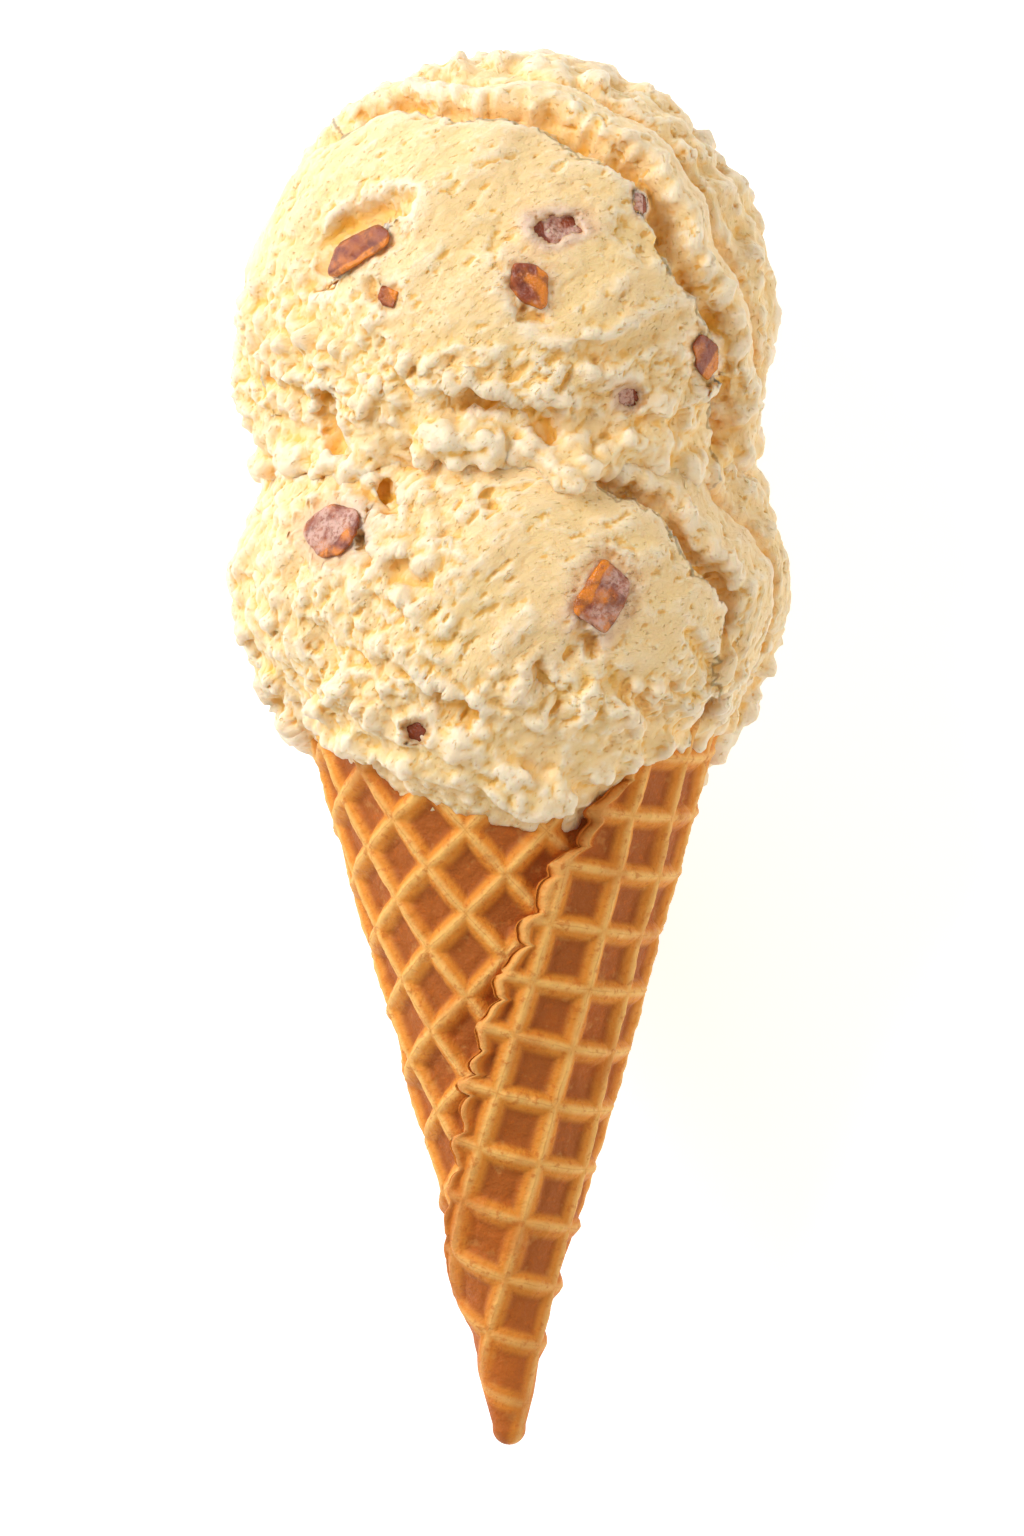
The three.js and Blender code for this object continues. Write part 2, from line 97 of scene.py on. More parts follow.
UPPER = {
    "name": "cream_upper",
    "node": "scoop_upper",
    "centre": (-0.7, 62.1, AXIS_HEIGHT),
    "radius": 37.6,
    "pole": (-0.317, -0.288, 0.904),
    "layers_towards": (0.75, 0.65, 0.1),
    "lip": 67.0,
    "crest": 78.0,
    "groove": 88.0,
    "salt": 3,
    "top": None,
    # Swollen with a plus sign, sunk with a minus: direction, half width in degrees and height
    "bulges": (
        ((-0.97, -0.24, 0.0), 15, 3.4),
        ((0.97, -0.22, 0.1), 20, 1.5),
        ((0.83, 0.56, 0.0), 17, -2.2),
        ((-0.5, -0.75, 0.45), 16, 1.2),
        ((-0.62, 0.35, 0.7), 9, -1.6),
        ((0.3, 0.2, -0.93), 30, -0.9),
    ),
    "skirt": {"along": 43.2, "radius": 32.6, "roll": 4.2, "ragged": 2.6, "tilt": 0.0, "salt": 21},
    # Lean of the scrape at the left and at the right, in degrees
    "flow": (38.0, 30.0),
    # Carved with a minus sign, raised with a plus: path, half width and height
    "features": (
        (((-27.4, 67.2), (-26.0, 71.8), (-21.2, 75.4), (-15.8, 78.8)), 1.8, -2.3),
        (((-26.5, 70.5), (-19.5, 77.5)), 3.2, -1.0),
        (((-20.4, 66.6), (-19.8, 64.6)), 0.8, -1.4),
        (((1.4, 62.6), (4.0, 61.4)), 0.9, -1.6),
        (((-28.4, 69.0), (-25.0, 77.0), (-18.0, 81.2)), 1.0, 0.7),
        (((-6.5, 49.8), (-2.5, 49.5), (1.5, 47.9), (5.5, 45.2)), 1.3, -2.6),
        (((-8.0, 52.6), (-1.0, 52.4), (6.0, 50.6)), 1.5, 1.1),
        (((-12.0, 44.5), (-5.0, 44.3), (3.5, 42.6)), 1.8, 1.0),
        (((-27.4, 50.5), (-26.2, 46.5), (-25.0, 43.5)), 1.5, -2.6),
        (((-34.0, 52.0), (-31.0, 48.0), (-28.5, 43.5)), 3.0, -1.2),
        (((-20.0, 51.0), (-23.5, 47.5), (-20.5, 44.0)), 2.2, 1.0),
        (((16.5, 74.5), (20.0, 72.0)), 2.0, -1.2),
        (((5.2, 58.1), (13.7, 59.2), (17.0, 61.6), (25.8, 64.6)), 1.1, 0.8),
        (((6.5, 56.0), (14.5, 57.0), (21.0, 59.0)), 1.3, -0.7),
        (((-15.0, 55.0), (-9.0, 57.5), (-2.0, 56.8)), 1.2, 0.7),
    ),
    # Lumps of cream: place as seen from the shown side, radius and how far it stands out
    "lumps": (
        (7.2, 44.6, 2.4, 0.4), (9.2, 43.0, 2.2, 0.6), (6.8, 41.5, 2.2, 0.8), (9.6, 40.4, 2.4, 1.0),
        (7.0, 38.8, 2.4, 1.0), (9.2, 37.9, 2.0, 1.2), (11.4, 39.6, 1.8, 0.8),
        (5.0, 40.2, 1.8, 0.6), (-9.0, 45.6, 1.8, 0.8), (-2.5, 44.4, 1.9, 1.0),
        (-6.0, 47.2, 1.6, 1.0), (-11.5, 53.0, 1.7, 0.6), (-17.0, 48.0, 1.9, 0.8),
        (-20.5, 50.5, 2.0, 0.8), (-24.0, 53.5, 1.7, 0.6), (19.5, 48.0, 2.6, 0.6),
        (23.0, 45.0, 2.4, 0.2), (15.0, 45.6, 2.2, 0.4), (-33.6, 44.6, 3.0, 0.0),
        (-31.0, 41.8, 2.8, 0.0), (-35.6, 48.4, 2.8, 0.0), (-30.4, 46.6, 2.4, 0.0),
        (-33.0, 53.0, 1.8, 0.5), (1.5, 52.8, 1.5, 0.7), (-38.2, 62.4, 2.2, 2.2),
        (-38.9, 52.8, 2.4, 2.2), (-38.4, 57.0, 1.9, 1.8), (-37.0, 67.2, 1.9, 1.8),
        (-35.4, 41.0, 2.4, 0.8), (-13.0, 42.0, 1.9, 0.8), (-8.4, 41.4, 1.8, 0.8),
        (-3.6, 41.8, 1.6, 0.8),
    ),
}
LOWER = {
    "name": "cream_lower",
    "node": "scoop_lower",
    "centre": (0.1, 21.8, AXIS_HEIGHT),
    "radius": 38.4,
    "pole": (-0.04, -0.433, 0.9),
    "layers_towards": (0.97, 0.2, 0.1),
    "lip": 55.0,
    "crest": 63.0,
    "groove": 77.0,
    "salt": 11,
    "top": 22.4,
    "bulges": (
        ((-1.0, 0.03, 0.05), 15, 3.6),
        ((0.98, 0.08, 0.1), 16, 3.4),
        ((-0.84, -0.54, 0.1), 22, -3.2),
        ((0.84, -0.54, 0.1), 22, -4.0),
        ((-0.45, 0.35, 0.8), 12, -1.2),
        ((0.2, -0.3, -0.93), 30, -0.8),
        ((0.6, -0.68, 0.42), 16, -3.6),
        ((-0.62, -0.66, 0.42), 16, -2.4),
    ),
    "skirt": {"along": 5.0, "radius": 29.2, "roll": 3.5, "ragged": 2.0, "tilt": 7.5, "salt": 43},
    "flow": (50.0, 18.0),
    "features": (
        (((4.0, 12.0), (4.1, 9.4)), 1.2, -2.8),
        (((11.2, 16.0), (11.8, 14.2)), 1.1, -2.6),
        (((-11.0, 7.8), (-6.6, 4.4)), 1.7, -2.4),
        (((-18.4, 37.0), (-17.6, 35.0)), 1.6, -2.4),
        (((-21.6, 30.6), (-20.9, 26.8)), 0.9, -2.2),
        (((-3.2, 36.4), (-3.1, 35.4)), 0.9, -1.4),
        (((-16.6, 25.8), (-13.6, 24.0)), 1.8, -1.4),
        (((-10.2, 31.2), (-8.6, 30.6)), 1.2, -1.4),
        (((-17.2, 20.6), (-15.8, 19.4)), 1.2, -1.4),
        (((-24.8, 8.9), (-16.1, 3.4), (-6.0, -0.4), (1.2, -3.6)), 1.8, 1.1),
        (((-22.0, 13.0), (-14.0, 9.5)), 1.1, -1.0),
        (((8.6, 13.6), (10.6, 19.6)), 1.0, -0.9),
        (((-1.5, 14.5), (2.0, 19.5)), 1.8, 0.7),
        (((25.8, 16.6), (28.4, 12.6)), 1.0, -1.4),
        (((-29.0, 17.0), (-26.0, 12.0)), 1.6, -1.4),
        (((14.0, 10.6), (20.0, 6.0)), 1.2, -1.0),
    ),
    "lumps": (
        (-1.0, -3.8, 2.8, 0.6), (2.4, -5.4, 3.0, 0.8), (5.2, -6.6, 2.8, 1.0),
        (3.0, -8.0, 2.3, 0.8), (7.4, -7.4, 2.0, 0.8), (0.2, -6.6, 2.2, 0.6),
        (-6.0, -2.2, 2.4, 0.6), (-11.2, -1.0, 2.4, 0.4), (-16.4, 0.4, 2.4, 0.4),
        (-22.0, 1.6, 2.4, 0.2), (12.2, -2.6, 2.6, 0.4), (17.0, -1.2, 2.6, 0.4),
        (22.0, 0.8, 2.4, 0.4), (12.4, 7.8, 2.2, 1.0), (15.6, 6.2, 2.3, 1.2), (13.6, 3.8, 2.2, 1.2),
        (17.6, 3.0, 2.0, 1.0), (10.8, 5.0, 1.8, 0.8), (27.8, 14.4, 2.2, 0.8),
        (30.2, 11.4, 2.3, 0.6), (28.6, 8.8, 2.0, 0.6), (-19.6, 4.6, 2.0, 0.8),
        (-13.0, 2.8, 1.9, 0.9), (-3.6, 1.6, 1.9, 0.9), (3.8, 4.8, 1.8, 0.8),
        (-24.6, 10.6, 2.0, 0.6), (-27.4, 6.0, 2.4, 0.2), (7.2, 0.4, 2.2, 0.8),
        (-38.6, 26.4, 2.2, 1.0), (-37.6, 21.6, 2.4, 0.8), (-38.2, 16.8, 2.2, 0.8),
        (-35.0, 10.6, 2.4, 0.6),
    ),
}
TOP_DOME = 0.0014

# Scoop, outline as seen from the shown side, depth, how far the top stands out, shares of frost
# and amber, and the side where the amber shows, in degrees; on the ninth piece that side is
# its lit side, so there the amber is painted light
Praline = namedtuple("Praline", "scoop outline depth lift frost amber amber_side")
PRALINES = (
    Praline(
        UPPER, (
            (-25.4, 72.0), (-19.3, 75.4), (-17.1, 74.2), (-17.9, 71.9), (-25.2, 67.6), (-26.6, 67.9),
        ),
        depth=4.6, lift=1.7, frost=0.0, amber=0.5, amber_side=-58.0,
    ),
    Praline(
        UPPER, ((-18.6, 66.6), (-16.0, 65.6), (-16.9, 63.1), (-18.6, 63.5), (-19.3, 64.9)),
        depth=3.4, lift=0.9, frost=0.05, amber=0.5, amber_side=20.0,
    ),
    Praline(
        UPPER, (
            (0.1, 69.7), (3.0, 69.5), (5.4, 68.0), (5.1, 63.4), (4.0, 62.8), (1.2, 64.0), (-0.4, 66.0),
        ),
        depth=5.0, lift=1.2, frost=0.1, amber=0.6, amber_side=10.0,
    ),
    Praline(
        UPPER, ((2.4, 76.4), (8.9, 77.0), (11.0, 74.2), (7.6, 72.6), (4.7, 71.6), (2.2, 74.4)),
        depth=5.0, lift=-1.1, frost=0.6, amber=0.0, amber_side=200.0,
    ),
    Praline(
        UPPER, ((17.4, 80.1), (18.9, 79.7), (19.4, 77.6), (18.6, 76.4), (17.4, 77.3)),
        depth=2.6, lift=0.2, frost=0.6, amber=0.0, amber_side=0.0,
    ),
    Praline(
        UPPER, ((27.1, 59.8), (29.6, 58.2), (29.7, 55.2), (28.0, 52.7), (26.3, 54.6), (25.7, 57.8)),
        depth=4.2, lift=1.0, frost=0.15, amber=0.4, amber_side=-30.0,
    ),
    Praline(
        UPPER, ((15.0, 51.6), (17.4, 52.2), (18.6, 50.4), (17.2, 48.8), (15.0, 49.2)),
        depth=3.0, lift=-0.7, frost=0.7, amber=0.0, amber_side=0.0,
    ),
    Praline(
        LOWER, (
            (-25.9, 35.6), (-22.0, 34.7), (-21.8, 31.5), (-24.4, 27.8), (-27.5, 27.5), (-30.1, 30.9),
            (-29.5, 33.0),
        ),
        depth=6.0, lift=1.3, frost=0.5, amber=0.25, amber_side=-50.0,
    ),
    Praline(
        LOWER, (
            (12.9, 27.6), (14.3, 27.1), (17.0, 24.3), (16.3, 20.6), (13.3, 16.5), (8.4, 19.8),
            (8.4, 20.6),
        ),
        # Painted light: the amber strip on this piece's upper left stands for its lit side
        depth=6.0, lift=1.6, frost=0.42, amber=0.7, amber_side=152.0,
    ),
    Praline(
        LOWER, ((-15.3, 3.4), (-13.4, 4.3), (-12.1, 3.0), (-13.0, 1.3), (-14.9, 1.6)),
        depth=2.8, lift=0.3, frost=0.3, amber=0.2, amber_side=0.0,
    ),
)


def colour_setting(name, place, colour):
    return FloatVectorProperty(
        name=name, description="Colour of " + place, subtype="COLOR", size=3, default=colour,
        min=0.0, max=1.0,
    )


class WaferSettings(PropertyGroup):
    pitch: FloatProperty(
        name="Waffle pitch", description="Distance between the waffle's lines, in millimetres",
        default=8.75, min=4.0, max=16.0,
    )
    depth: FloatProperty(
        name="Pocket depth", description="Depth of the waffle's pockets, in millimetres",
        default=1.75, min=0.2, max=3.0,
    )
    columns: IntProperty(
        name="Columns", description="Mesh columns round the cone", default=384, min=40, max=400,
    )
    rows: IntProperty(
        name="Rows", description="Mesh rows along the cone", default=250, min=40, max=300,
    )
    crest_colour: colour_setting("Crests", "the top of the waffle's ridges", (0.93, 0.56, 0.17))
    ridge_colour: colour_setting("Ridges", "the waffle's ridges", (0.78, 0.29, 0.036))
    pocket_colour: colour_setting("Pockets", "the waffle's pockets", (0.41, 0.112, 0.017))
    toast_colour: colour_setting("Toasted edge", "the toasted edge and spots", (0.55, 0.135, 0.012))


class CreamSettings(PropertyGroup):
    voxel: FloatProperty(
        name="Grain", description="Size of the mesh's faces before they are refined, in millimetres",
        default=0.97, min=0.4, max=3.0,
    )
    crags: FloatProperty(
        name="Crags", description="Height of the crags in the torn places",
        default=1.0, min=0.0, max=3.0,
    )
    # Painted highlight: a paler cream laid where the surface stands out above its neighbours
    painted_highlight_colour: colour_setting("Raised cream", "the cream where it stands out", (1.0, 0.83, 0.62))
    cream_colour: colour_setting("Cream", "the cream", (0.99, 0.71, 0.355))
    # Painted shade: a deeper orange cream in cracks, hollows, trenches and pits
    painted_shade_colour: colour_setting("Hollows", "the cream in its cracks and hollows", (0.98, 0.53, 0.06))
    stain_colour: colour_setting("Stain", "the cream beside the toffee", (0.60, 0.37, 0.30))


class PralineSettings(PropertyGroup):
    toffee_colour: colour_setting("Toffee", "the toffee", (0.30, 0.055, 0.015))
    # Amber of thin toffee; on one piece it is also painted light on its lit side
    amber_colour: colour_setting("Amber", "the toffee's thin places", (0.78, 0.24, 0.015))
    frost_colour: colour_setting("Frost", "the frost on the pieces", (0.68, 0.42, 0.34))


class StageSettings(PropertyGroup):
    key_power: FloatProperty(
        name="Key light", description="Power of the light at the upper left",
        default=11.3, min=0.0, unit="POWER",
    )
    fill_power: FloatProperty(
        name="Fill light", description="Power of the light at the right",
        default=2.7, min=0.0, unit="POWER",
    )
    sky: FloatProperty(
        name="Sky", description="Strength of the light from all round", default=0.40, min=0.0,
    )
    lens: FloatProperty(
        name="Lens", description="Focal length of the camera, in millimetres",
        default=600.0, min=20.0,
    )


# Sums over whole arrays of points

FAR = 1e9


def smoothstep(low, high, value):
    share = np.clip((value - low) / (high - low), 0.0, 1.0)
    return share * share * (3.0 - 2.0 * share)


def mix(first, second, share):
    return first + (second - first) * share


def unit(vector):
    vector = np.asarray(vector, dtype=float)
    return vector / np.linalg.norm(vector)


def draw(number, salt):
    """A repeatable draw between 0 and 1."""
    wave = np.sin(number * 12.9898 + salt * 78.233) * 43758.5453
    return wave - np.floor(wave)


def scrambled(cells, salt):
    """A repeatable whole number of 30 bits for each whole-numbered cell."""
    code = cells[:, 0] * 73856093 + cells[:, 1] * 19349663 + cells[:, 2] * 83492791 + salt * 9781
    code = (code << 13) ^ code
    code = (code * (code * code * 15731 + 789221) + 1376312589) & 0x3FFFFFFF
    return code ^ (code >> 15)


def parts_of(code):
    """Three draws between 0 and 1 from each scrambled number."""
    return np.stack((code & 1023, (code >> 10) & 1023, (code >> 20) & 1023), axis=1) / 1023.0


def rolling(points, salt):
    """Smooth noise of about -0.7 to 0.7, with waves one unit long."""
    base = np.floor(points)
    part = points - base
    base = base.astype(np.int64)
    fade = part * part * (3.0 - 2.0 * part)
    total = np.zeros(len(points))
    for corner in itertools.product((0, 1), repeat=3):
        slopes = parts_of(scrambled(base + np.array(corner), salt)) * 2.0 - 1.0
        weight = np.prod(np.where(corner, fade, 1.0 - fade), axis=1)
        total += weight * np.sum(slopes * (part - corner), axis=1)
    return total * 1.3


def nearest_seed(points, salt):
    """Distance to the nearest seed, one seed a cell, and a draw for that seed."""
    base = np.floor(points)
    part = points - base
    base = base.astype(np.int64)
    near = np.full(len(points), FAR)
    mark = np.zeros(len(points))
    for step in itertools.product((-1, 0, 1), repeat=3):
        code = scrambled(base + np.array(step), salt)
        distance = np.linalg.norm(parts_of(code) + step - part, axis=1)
        mark = np.where(distance < near, (code & 255) / 255.0, mark)
        near = np.minimum(near, distance)
    return near, mark


def path_distance(points, path):
    """Distance from each point to a path, both as seen from the shown side."""
    best = np.full(len(points), FAR)
    for start, end in zip(path, path[1:]):
        start = np.array(start)
        step = np.array(end) - start
        away = points[:, :2] - start
        share = np.clip(away @ step / (step @ step), 0.0, 1.0)
        best = np.minimum(best, np.linalg.norm(away - share[:, None] * step, axis=1))
    return best


# Meshes as arrays

def points_of(data):
    values = np.empty(len(data.vertices) * 3)
    data.vertices.foreach_get("co", values)
    return values.reshape(-1, 3)


def normals_of(data):
    values = np.empty(len(data.vertices) * 3)
    data.vertex_normals.foreach_get("vector", values)
    return values.reshape(-1, 3)


def move_points(data, points):
    data.vertices.foreach_set("co", points.ravel())
    data.update()


def averaged(data, points, passes):
    """Points drawn half way towards the middle of their neighbours, some times over."""
    ends = np.empty(len(data.edges) * 2, dtype=np.int32)
    data.edges.foreach_get("vertices", ends)
    first, second = ends.reshape(-1, 2).T
    count = len(points)
    neighbours = np.bincount(first, minlength=count) + np.bincount(second, minlength=count)
    for _ in range(passes):
        total = np.stack([
            np.bincount(first, values[second], count) + np.bincount(second, values[first], count)
            for values in points.T
        ], axis=1)
        points = (points + total / neighbours[:, None]) / 2.0
    return points


def hollow_depth(data, passes):
    """How far each point lies below the averaged surface, in millimetres."""
    points = points_of(data)
    return np.sum((averaged(data, points, passes) - points) * normals_of(data), axis=1)


def mapped_sphere(columns, rows, place):
    """A closed mesh with the grid of a sphere, its points moved to place(column, row)."""
    mesh = bmesh.new()
    bmesh.ops.create_grid(mesh, x_segments=columns, y_segments=rows, size=1.0)
    for vertex in mesh.verts:
        turn = (vertex.co.x + 1.0) * math.pi
        fall = (vertex.co.y + 1.0) * math.pi / 2.0
        ring = math.sin(fall)
        vertex.co = (ring * math.cos(turn), ring * math.sin(turn), math.cos(fall))
    bmesh.ops.remove_doubles(mesh, verts=mesh.verts, dist=1e-5)
    spots = np.array([vertex.co for vertex in mesh.verts])
    row = np.rint(np.arccos(np.clip(spots[:, 2], -1.0, 1.0)) / math.pi * rows).astype(int)
    column = np.rint(np.arctan2(spots[:, 1], spots[:, 0]) / (2.0 * math.pi) * columns)
    column = column.astype(int) % columns
    column[(row == 0) | (row == rows)] = 0
    for vertex, point in zip(mesh.verts, place(column, row)):
        vertex.co = point
    bmesh.ops.recalc_face_normals(mesh, faces=mesh.faces)
    return mesh


def to_data(mesh, name):
    data = bpy.data.meshes.new(name)
    mesh.to_mesh(data)
    mesh.free()
    return data


def finish_piece(data, name, material, nodes, attributes):
    """Brings a mesh to metres, makes it an object and lets it stand for its solids."""
    move_points(data, points_of(data) * METRE)
    for title, values in attributes:
        flat = values.ndim == 1
        layer = data.attributes.new(title, "FLOAT" if flat else "FLOAT_VECTOR", "POINT")
        layer.data.foreach_set("value" if flat else "vector", values.ravel())
    data.shade_smooth()
    piece = bpy.data.objects.new(name, data)
    bpy.context.collection.objects.link(piece)
    data.materials.append(material)
    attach(piece, BODY)
    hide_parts(*nodes)


# Rolled wafer

def edge_turn(length):
    """Where the sheet's outer edge lies, in degrees, at a distance from the cone's apex."""
    curled = np.maximum(0.0, EDGE_CURL_LENGTH - length)
    return EDGE_TOP_TURN - EDGE_LEAN * (EDGE_TOP_LENGTH - length) - EDGE_CURL * curled ** 2


def cone_radius(length, wound):
    """Radius of the rolled sheet, which falls by its thickness in one turn."""
    step = WAFER * smoothstep(TIP_START, EDGE_CURL_LENGTH, length)
    rounding = np.sqrt(1.0 - (1.0 - np.clip((length - TIP_START) / TIP_ROUND, 0.0, 1.0)) ** 2)
    cone = np.maximum(CONE_SLOPE * length, TIP_RADIUS)
    return (cone + step * (MIDDLE_OF_STEP - wound / 360.0)) * rounding


def sheet_lines(length, turn, layer, pitch):
    """Place on the flat sheet, counted in lines of the waffle."""
    along = length / math.cos(CONE_LEAN)
    angle = np.radians(turn) * math.sin(CONE_LEAN)
    lean = math.radians(layer[0])
    across = along * np.cos(angle) - layer[1][0]
    up = along * np.sin(angle) - layer[1][1]
    place = np.stack((across, up, np.zeros_like(up)), axis=1) * 0.07
    first = (across * math.cos(lean) + up * math.sin(lean)) / pitch
    second = (up * math.cos(lean) - across * math.sin(lean)) / pitch
    return first + 0.05 * rolling(place, 5), second + 0.05 * rolling(place, 6)


def ridge(across, along):
    """Height of one line of the waffle, from 0 to 1, at a place counted in lines."""
    from_line = np.abs(across - np.rint(across))
    from_crossing = np.abs(along - np.rint(along))
    middle = smoothstep(0.0, 0.32, from_crossing)
    width = 0.25 + 0.02 * middle
    slope = np.clip(1.0 - from_line / width, 0.0, 1.0)
    body = 0.72 * slope + 0.28 * smoothstep(0.0, 0.7, slope)
    return (0.96 + 0.04 * middle) * body


def waffle(length, turn, pitch):
    """Height of the waffle from pocket floor to ridge, and the place in lines."""
    outer = sheet_lines(length, turn, OUTER_LAYER, pitch)
    under = sheet_lines(length, turn - 360.0, UNDER_LAYER, pitch)
    back = smoothstep(165.0, 195.0, turn)
    heights = []
    for across, up in (outer, under):
        cells = np.floor(np.stack((across, up, np.zeros_like(up)), axis=1)).astype(np.int64)
        seat = 0.35 + 0.3 * parts_of(scrambled(cells, 4))
        hole = np.hypot(across - cells[:, 0] - seat[:, 0], up - cells[:, 1] - seat[:, 1])
        crown = np.hypot(across - np.rint(across), up - np.rint(up))
        height = np.maximum(ridge(across, up), ridge(up, across))
        height = height - 0.3 * np.exp(-(hole / 0.035) ** 2) - 0.10 * np.exp(-(crown / 0.05) ** 2)
        heights.append(height)
    lines = np.where((turn < 180.0)[:, None], np.stack(outer, axis=1), np.stack(under, axis=1))
    clear = np.maximum(1.0 - smoothstep(150.0, 165.0, turn), smoothstep(195.0, 210.0, turn))
    return mix(heights[0], heights[1], back), np.column_stack((lines, clear))


WALL_COLUMNS = 8
TIP_ROWS = 10
LOBE_PITCH = 4.6
LOBE_REACH = 5.0


def noise_along(length, waves, salt):
    """Smooth noise that only changes along the cone."""
    still = np.zeros_like(length)
    return rolling(np.stack((length * waves, still, still + 4.0), axis=1), salt)


def edge_lobes(length, pitch, outer):
    """How far the puffy lobes reach past the sheet's outer edge, in millimetres."""
    inside = edge_turn(length) + np.degrees(1.6 / outer)
    lobe = 1.5 * (waffle(length, inside, pitch)[0] - 0.45)
    scallop = np.abs(np.sin(math.pi * (length / LOBE_PITCH + 0.7 * noise_along(length, 0.12, 1))))
    return lobe + 2.2 * np.sqrt(scallop) - 1.5 + 1.2 * noise_along(length, 0.22, 2)


def make_wafer(settings):
    columns, rows, pitch = settings.columns, settings.rows, settings.pitch
    kept = {}

    def place(column, row):
        tip = np.clip((rows - row) / TIP_ROWS, 0.0, 1.0)
        shoulder = TIP_START + TIP_ROUND * 0.9
        length = mix(CONE_LENGTH, shoulder, np.clip((row - 1) / (rows - TIP_ROWS - 1), 0.0, 1.0))
        length = np.where(row > rows - TIP_ROWS, TIP_START + TIP_ROUND * 0.9 * tip ** 1.6, length)
        fade = smoothstep(12.0, 24.0, length) * mix(0.6, 1.0, smoothstep(20.0, 60.0, length))
        outer = np.maximum(cone_radius(length, 0.0), 3.0)
        lobe = np.degrees(edge_lobes(length, pitch, outer) * fade / outer)

        # The first columns climb the step at the sheet's outer edge, the others go once round
        wall = column < WALL_COLUMNS
        share = np.where(wall, column / WALL_COLUMNS, 0.0)
        wound = np.where(wall, 360.0, 360.0 * (column - WALL_COLUMNS) / (columns - WALL_COLUMNS))
        crumb = rolling(np.stack((length * 0.8, share * 2.5, share), axis=1), 7)
        under = 1.3 * (1.0 - share) ** 2 + 0.12 * share
        under = under + (0.3 * crumb - 0.45) * np.sin(math.pi * share)
        from_edge = np.radians(wound) * outer
        from_end = np.radians(360.0 - wound) * outer
        kept_lobe = np.exp(-from_edge / LOBE_REACH) + np.exp(-from_end / LOBE_REACH)
        kept_lobe = np.where(wall, 1.0, kept_lobe)
        edge = edge_turn(length)
        turn = edge - lobe * kept_lobe + np.where(wall, np.degrees(under * fade / outer), wound)
        edge = edge - lobe

        # A rim as high as the ridges runs along the edge and rounds off at the step
        height, lines = waffle(length, turn, pitch)
        under_height, _ = waffle(length, edge + 360.0, pitch)
        edge_height, _ = waffle(length, edge, pitch)
        uneven = 0.25 * noise_along(length, 0.35, 9)
        rim = (0.95 + uneven) * np.exp(-((from_edge - 1.1) / 1.2) ** 2)
        height = np.maximum(height, rim) + 0.15 * rim
        edge_height = np.maximum(edge_height, 0.9 + uneven)
        plain = cone_radius(length, wound) - settings.depth * (1.0 - height) * fade
        plain = plain - 1.3 * np.exp(-from_edge ** 2) * fade
        low = cone_radius(length, 360.0) - settings.depth * (1.0 - under_height) * fade
        high = cone_radius(length, 0.0) - settings.depth * (1.0 - edge_height) * fade - 1.3 * fade
        radius = np.where(wall, mix(low, high, np.sin(0.5 * math.pi * share)), plain)

        angle = np.radians(turn)
        spot = np.stack((radius * np.sin(angle), length, radius * np.cos(angle)), axis=1)
        blister = 0.45 * rolling(spot * 0.11, 1) + 0.24 * rolling(spot * 0.5, 2)
        blister = blister + 0.13 * rolling(spot * 1.3, 3)
        radius = radius + blister * fade
        radius = np.where((row == 0) | (row == rows), 0.0, radius)
        kept["height"] = np.where(wall, 0.75 * share, height)
        baked = 0.55 * np.exp(-(from_edge / 4.0) ** 2) + 0.5 * smoothstep(75.0, 15.0, length)
        kept["toast"] = np.where(wall, 1.0 - 0.45 * share, np.clip(baked, 0.0, 1.0))
        kept["lines"] = lines
        return np.stack((
            AXIS_X + radius * np.sin(angle), APEX_Y + length, AXIS_HEIGHT + radius * np.cos(angle),
        ), axis=1)

    data = to_data(mapped_sphere(columns, rows, place), "wafer")
    # The hollow depth sets where the wafer gets painted shade
    attributes = (
        ("height", kept["height"]), ("toast", kept["toast"]), ("lines", kept["lines"]),
        ("hollow", hollow_depth(data, 12)),
    )
    finish_piece(data, "wafer", wafer_material(settings), ("waffle_cone",), attributes)


# Scoops of cream

def layer_axes(scoop):
    """A scoop's pole and two directions square to it."""
    pole = unit(scoop["pole"])
    side = unit(np.array((1.0, 0.0, 0.0)) - pole * pole[0])
    return pole, side, np.cross(side, pole)


def layer_strength(scoop, directions):
    """How clearly the layers show, from 0.25 to 1."""
    return 0.25 + 0.75 * smoothstep(-0.45, 0.3, directions @ unit(scoop["layers_towards"]))


def edge_shift(scoop, turn, heights):
    """How far the layers' edges wander from their angle, in degrees, at some heights on them."""
    salt = scoop["salt"]
    shift = 2.6 * np.sin(2 * turn + salt) + 1.9 * np.sin(5 * turn + 2 * salt)
    shift = shift + 1.4 * np.sin(11 * turn + 3 * salt)
    around = np.stack((np.cos(turn), np.sin(turn), np.zeros(len(turn))), axis=1) * scoop["radius"]
    deep = around * 0.5
    deep[:, 2] = 0.5 * heights
    shift = shift + 2.2 * rolling(around * 0.2, salt) + 2.2 * rolling(deep, 1 + salt)
    deep[:, :2] = around[:, :2] * 0.9
    return shift + 1.9 * rolling(deep, 2 + salt)


def swell(points, salt):
    """How far the ball swells out of round, in millimetres."""
    x, y, z = points.T
    return (
        0.45 * np.sin(6 * x + 3 * y + salt) + 0.4 * np.sin(7 * y - 4 * z + 2 * salt)
        + 0.35 * np.sin(9 * z + 5 * x + 3 * salt) + 0.3 * np.sin(13 * x - 11 * y + salt)
    )


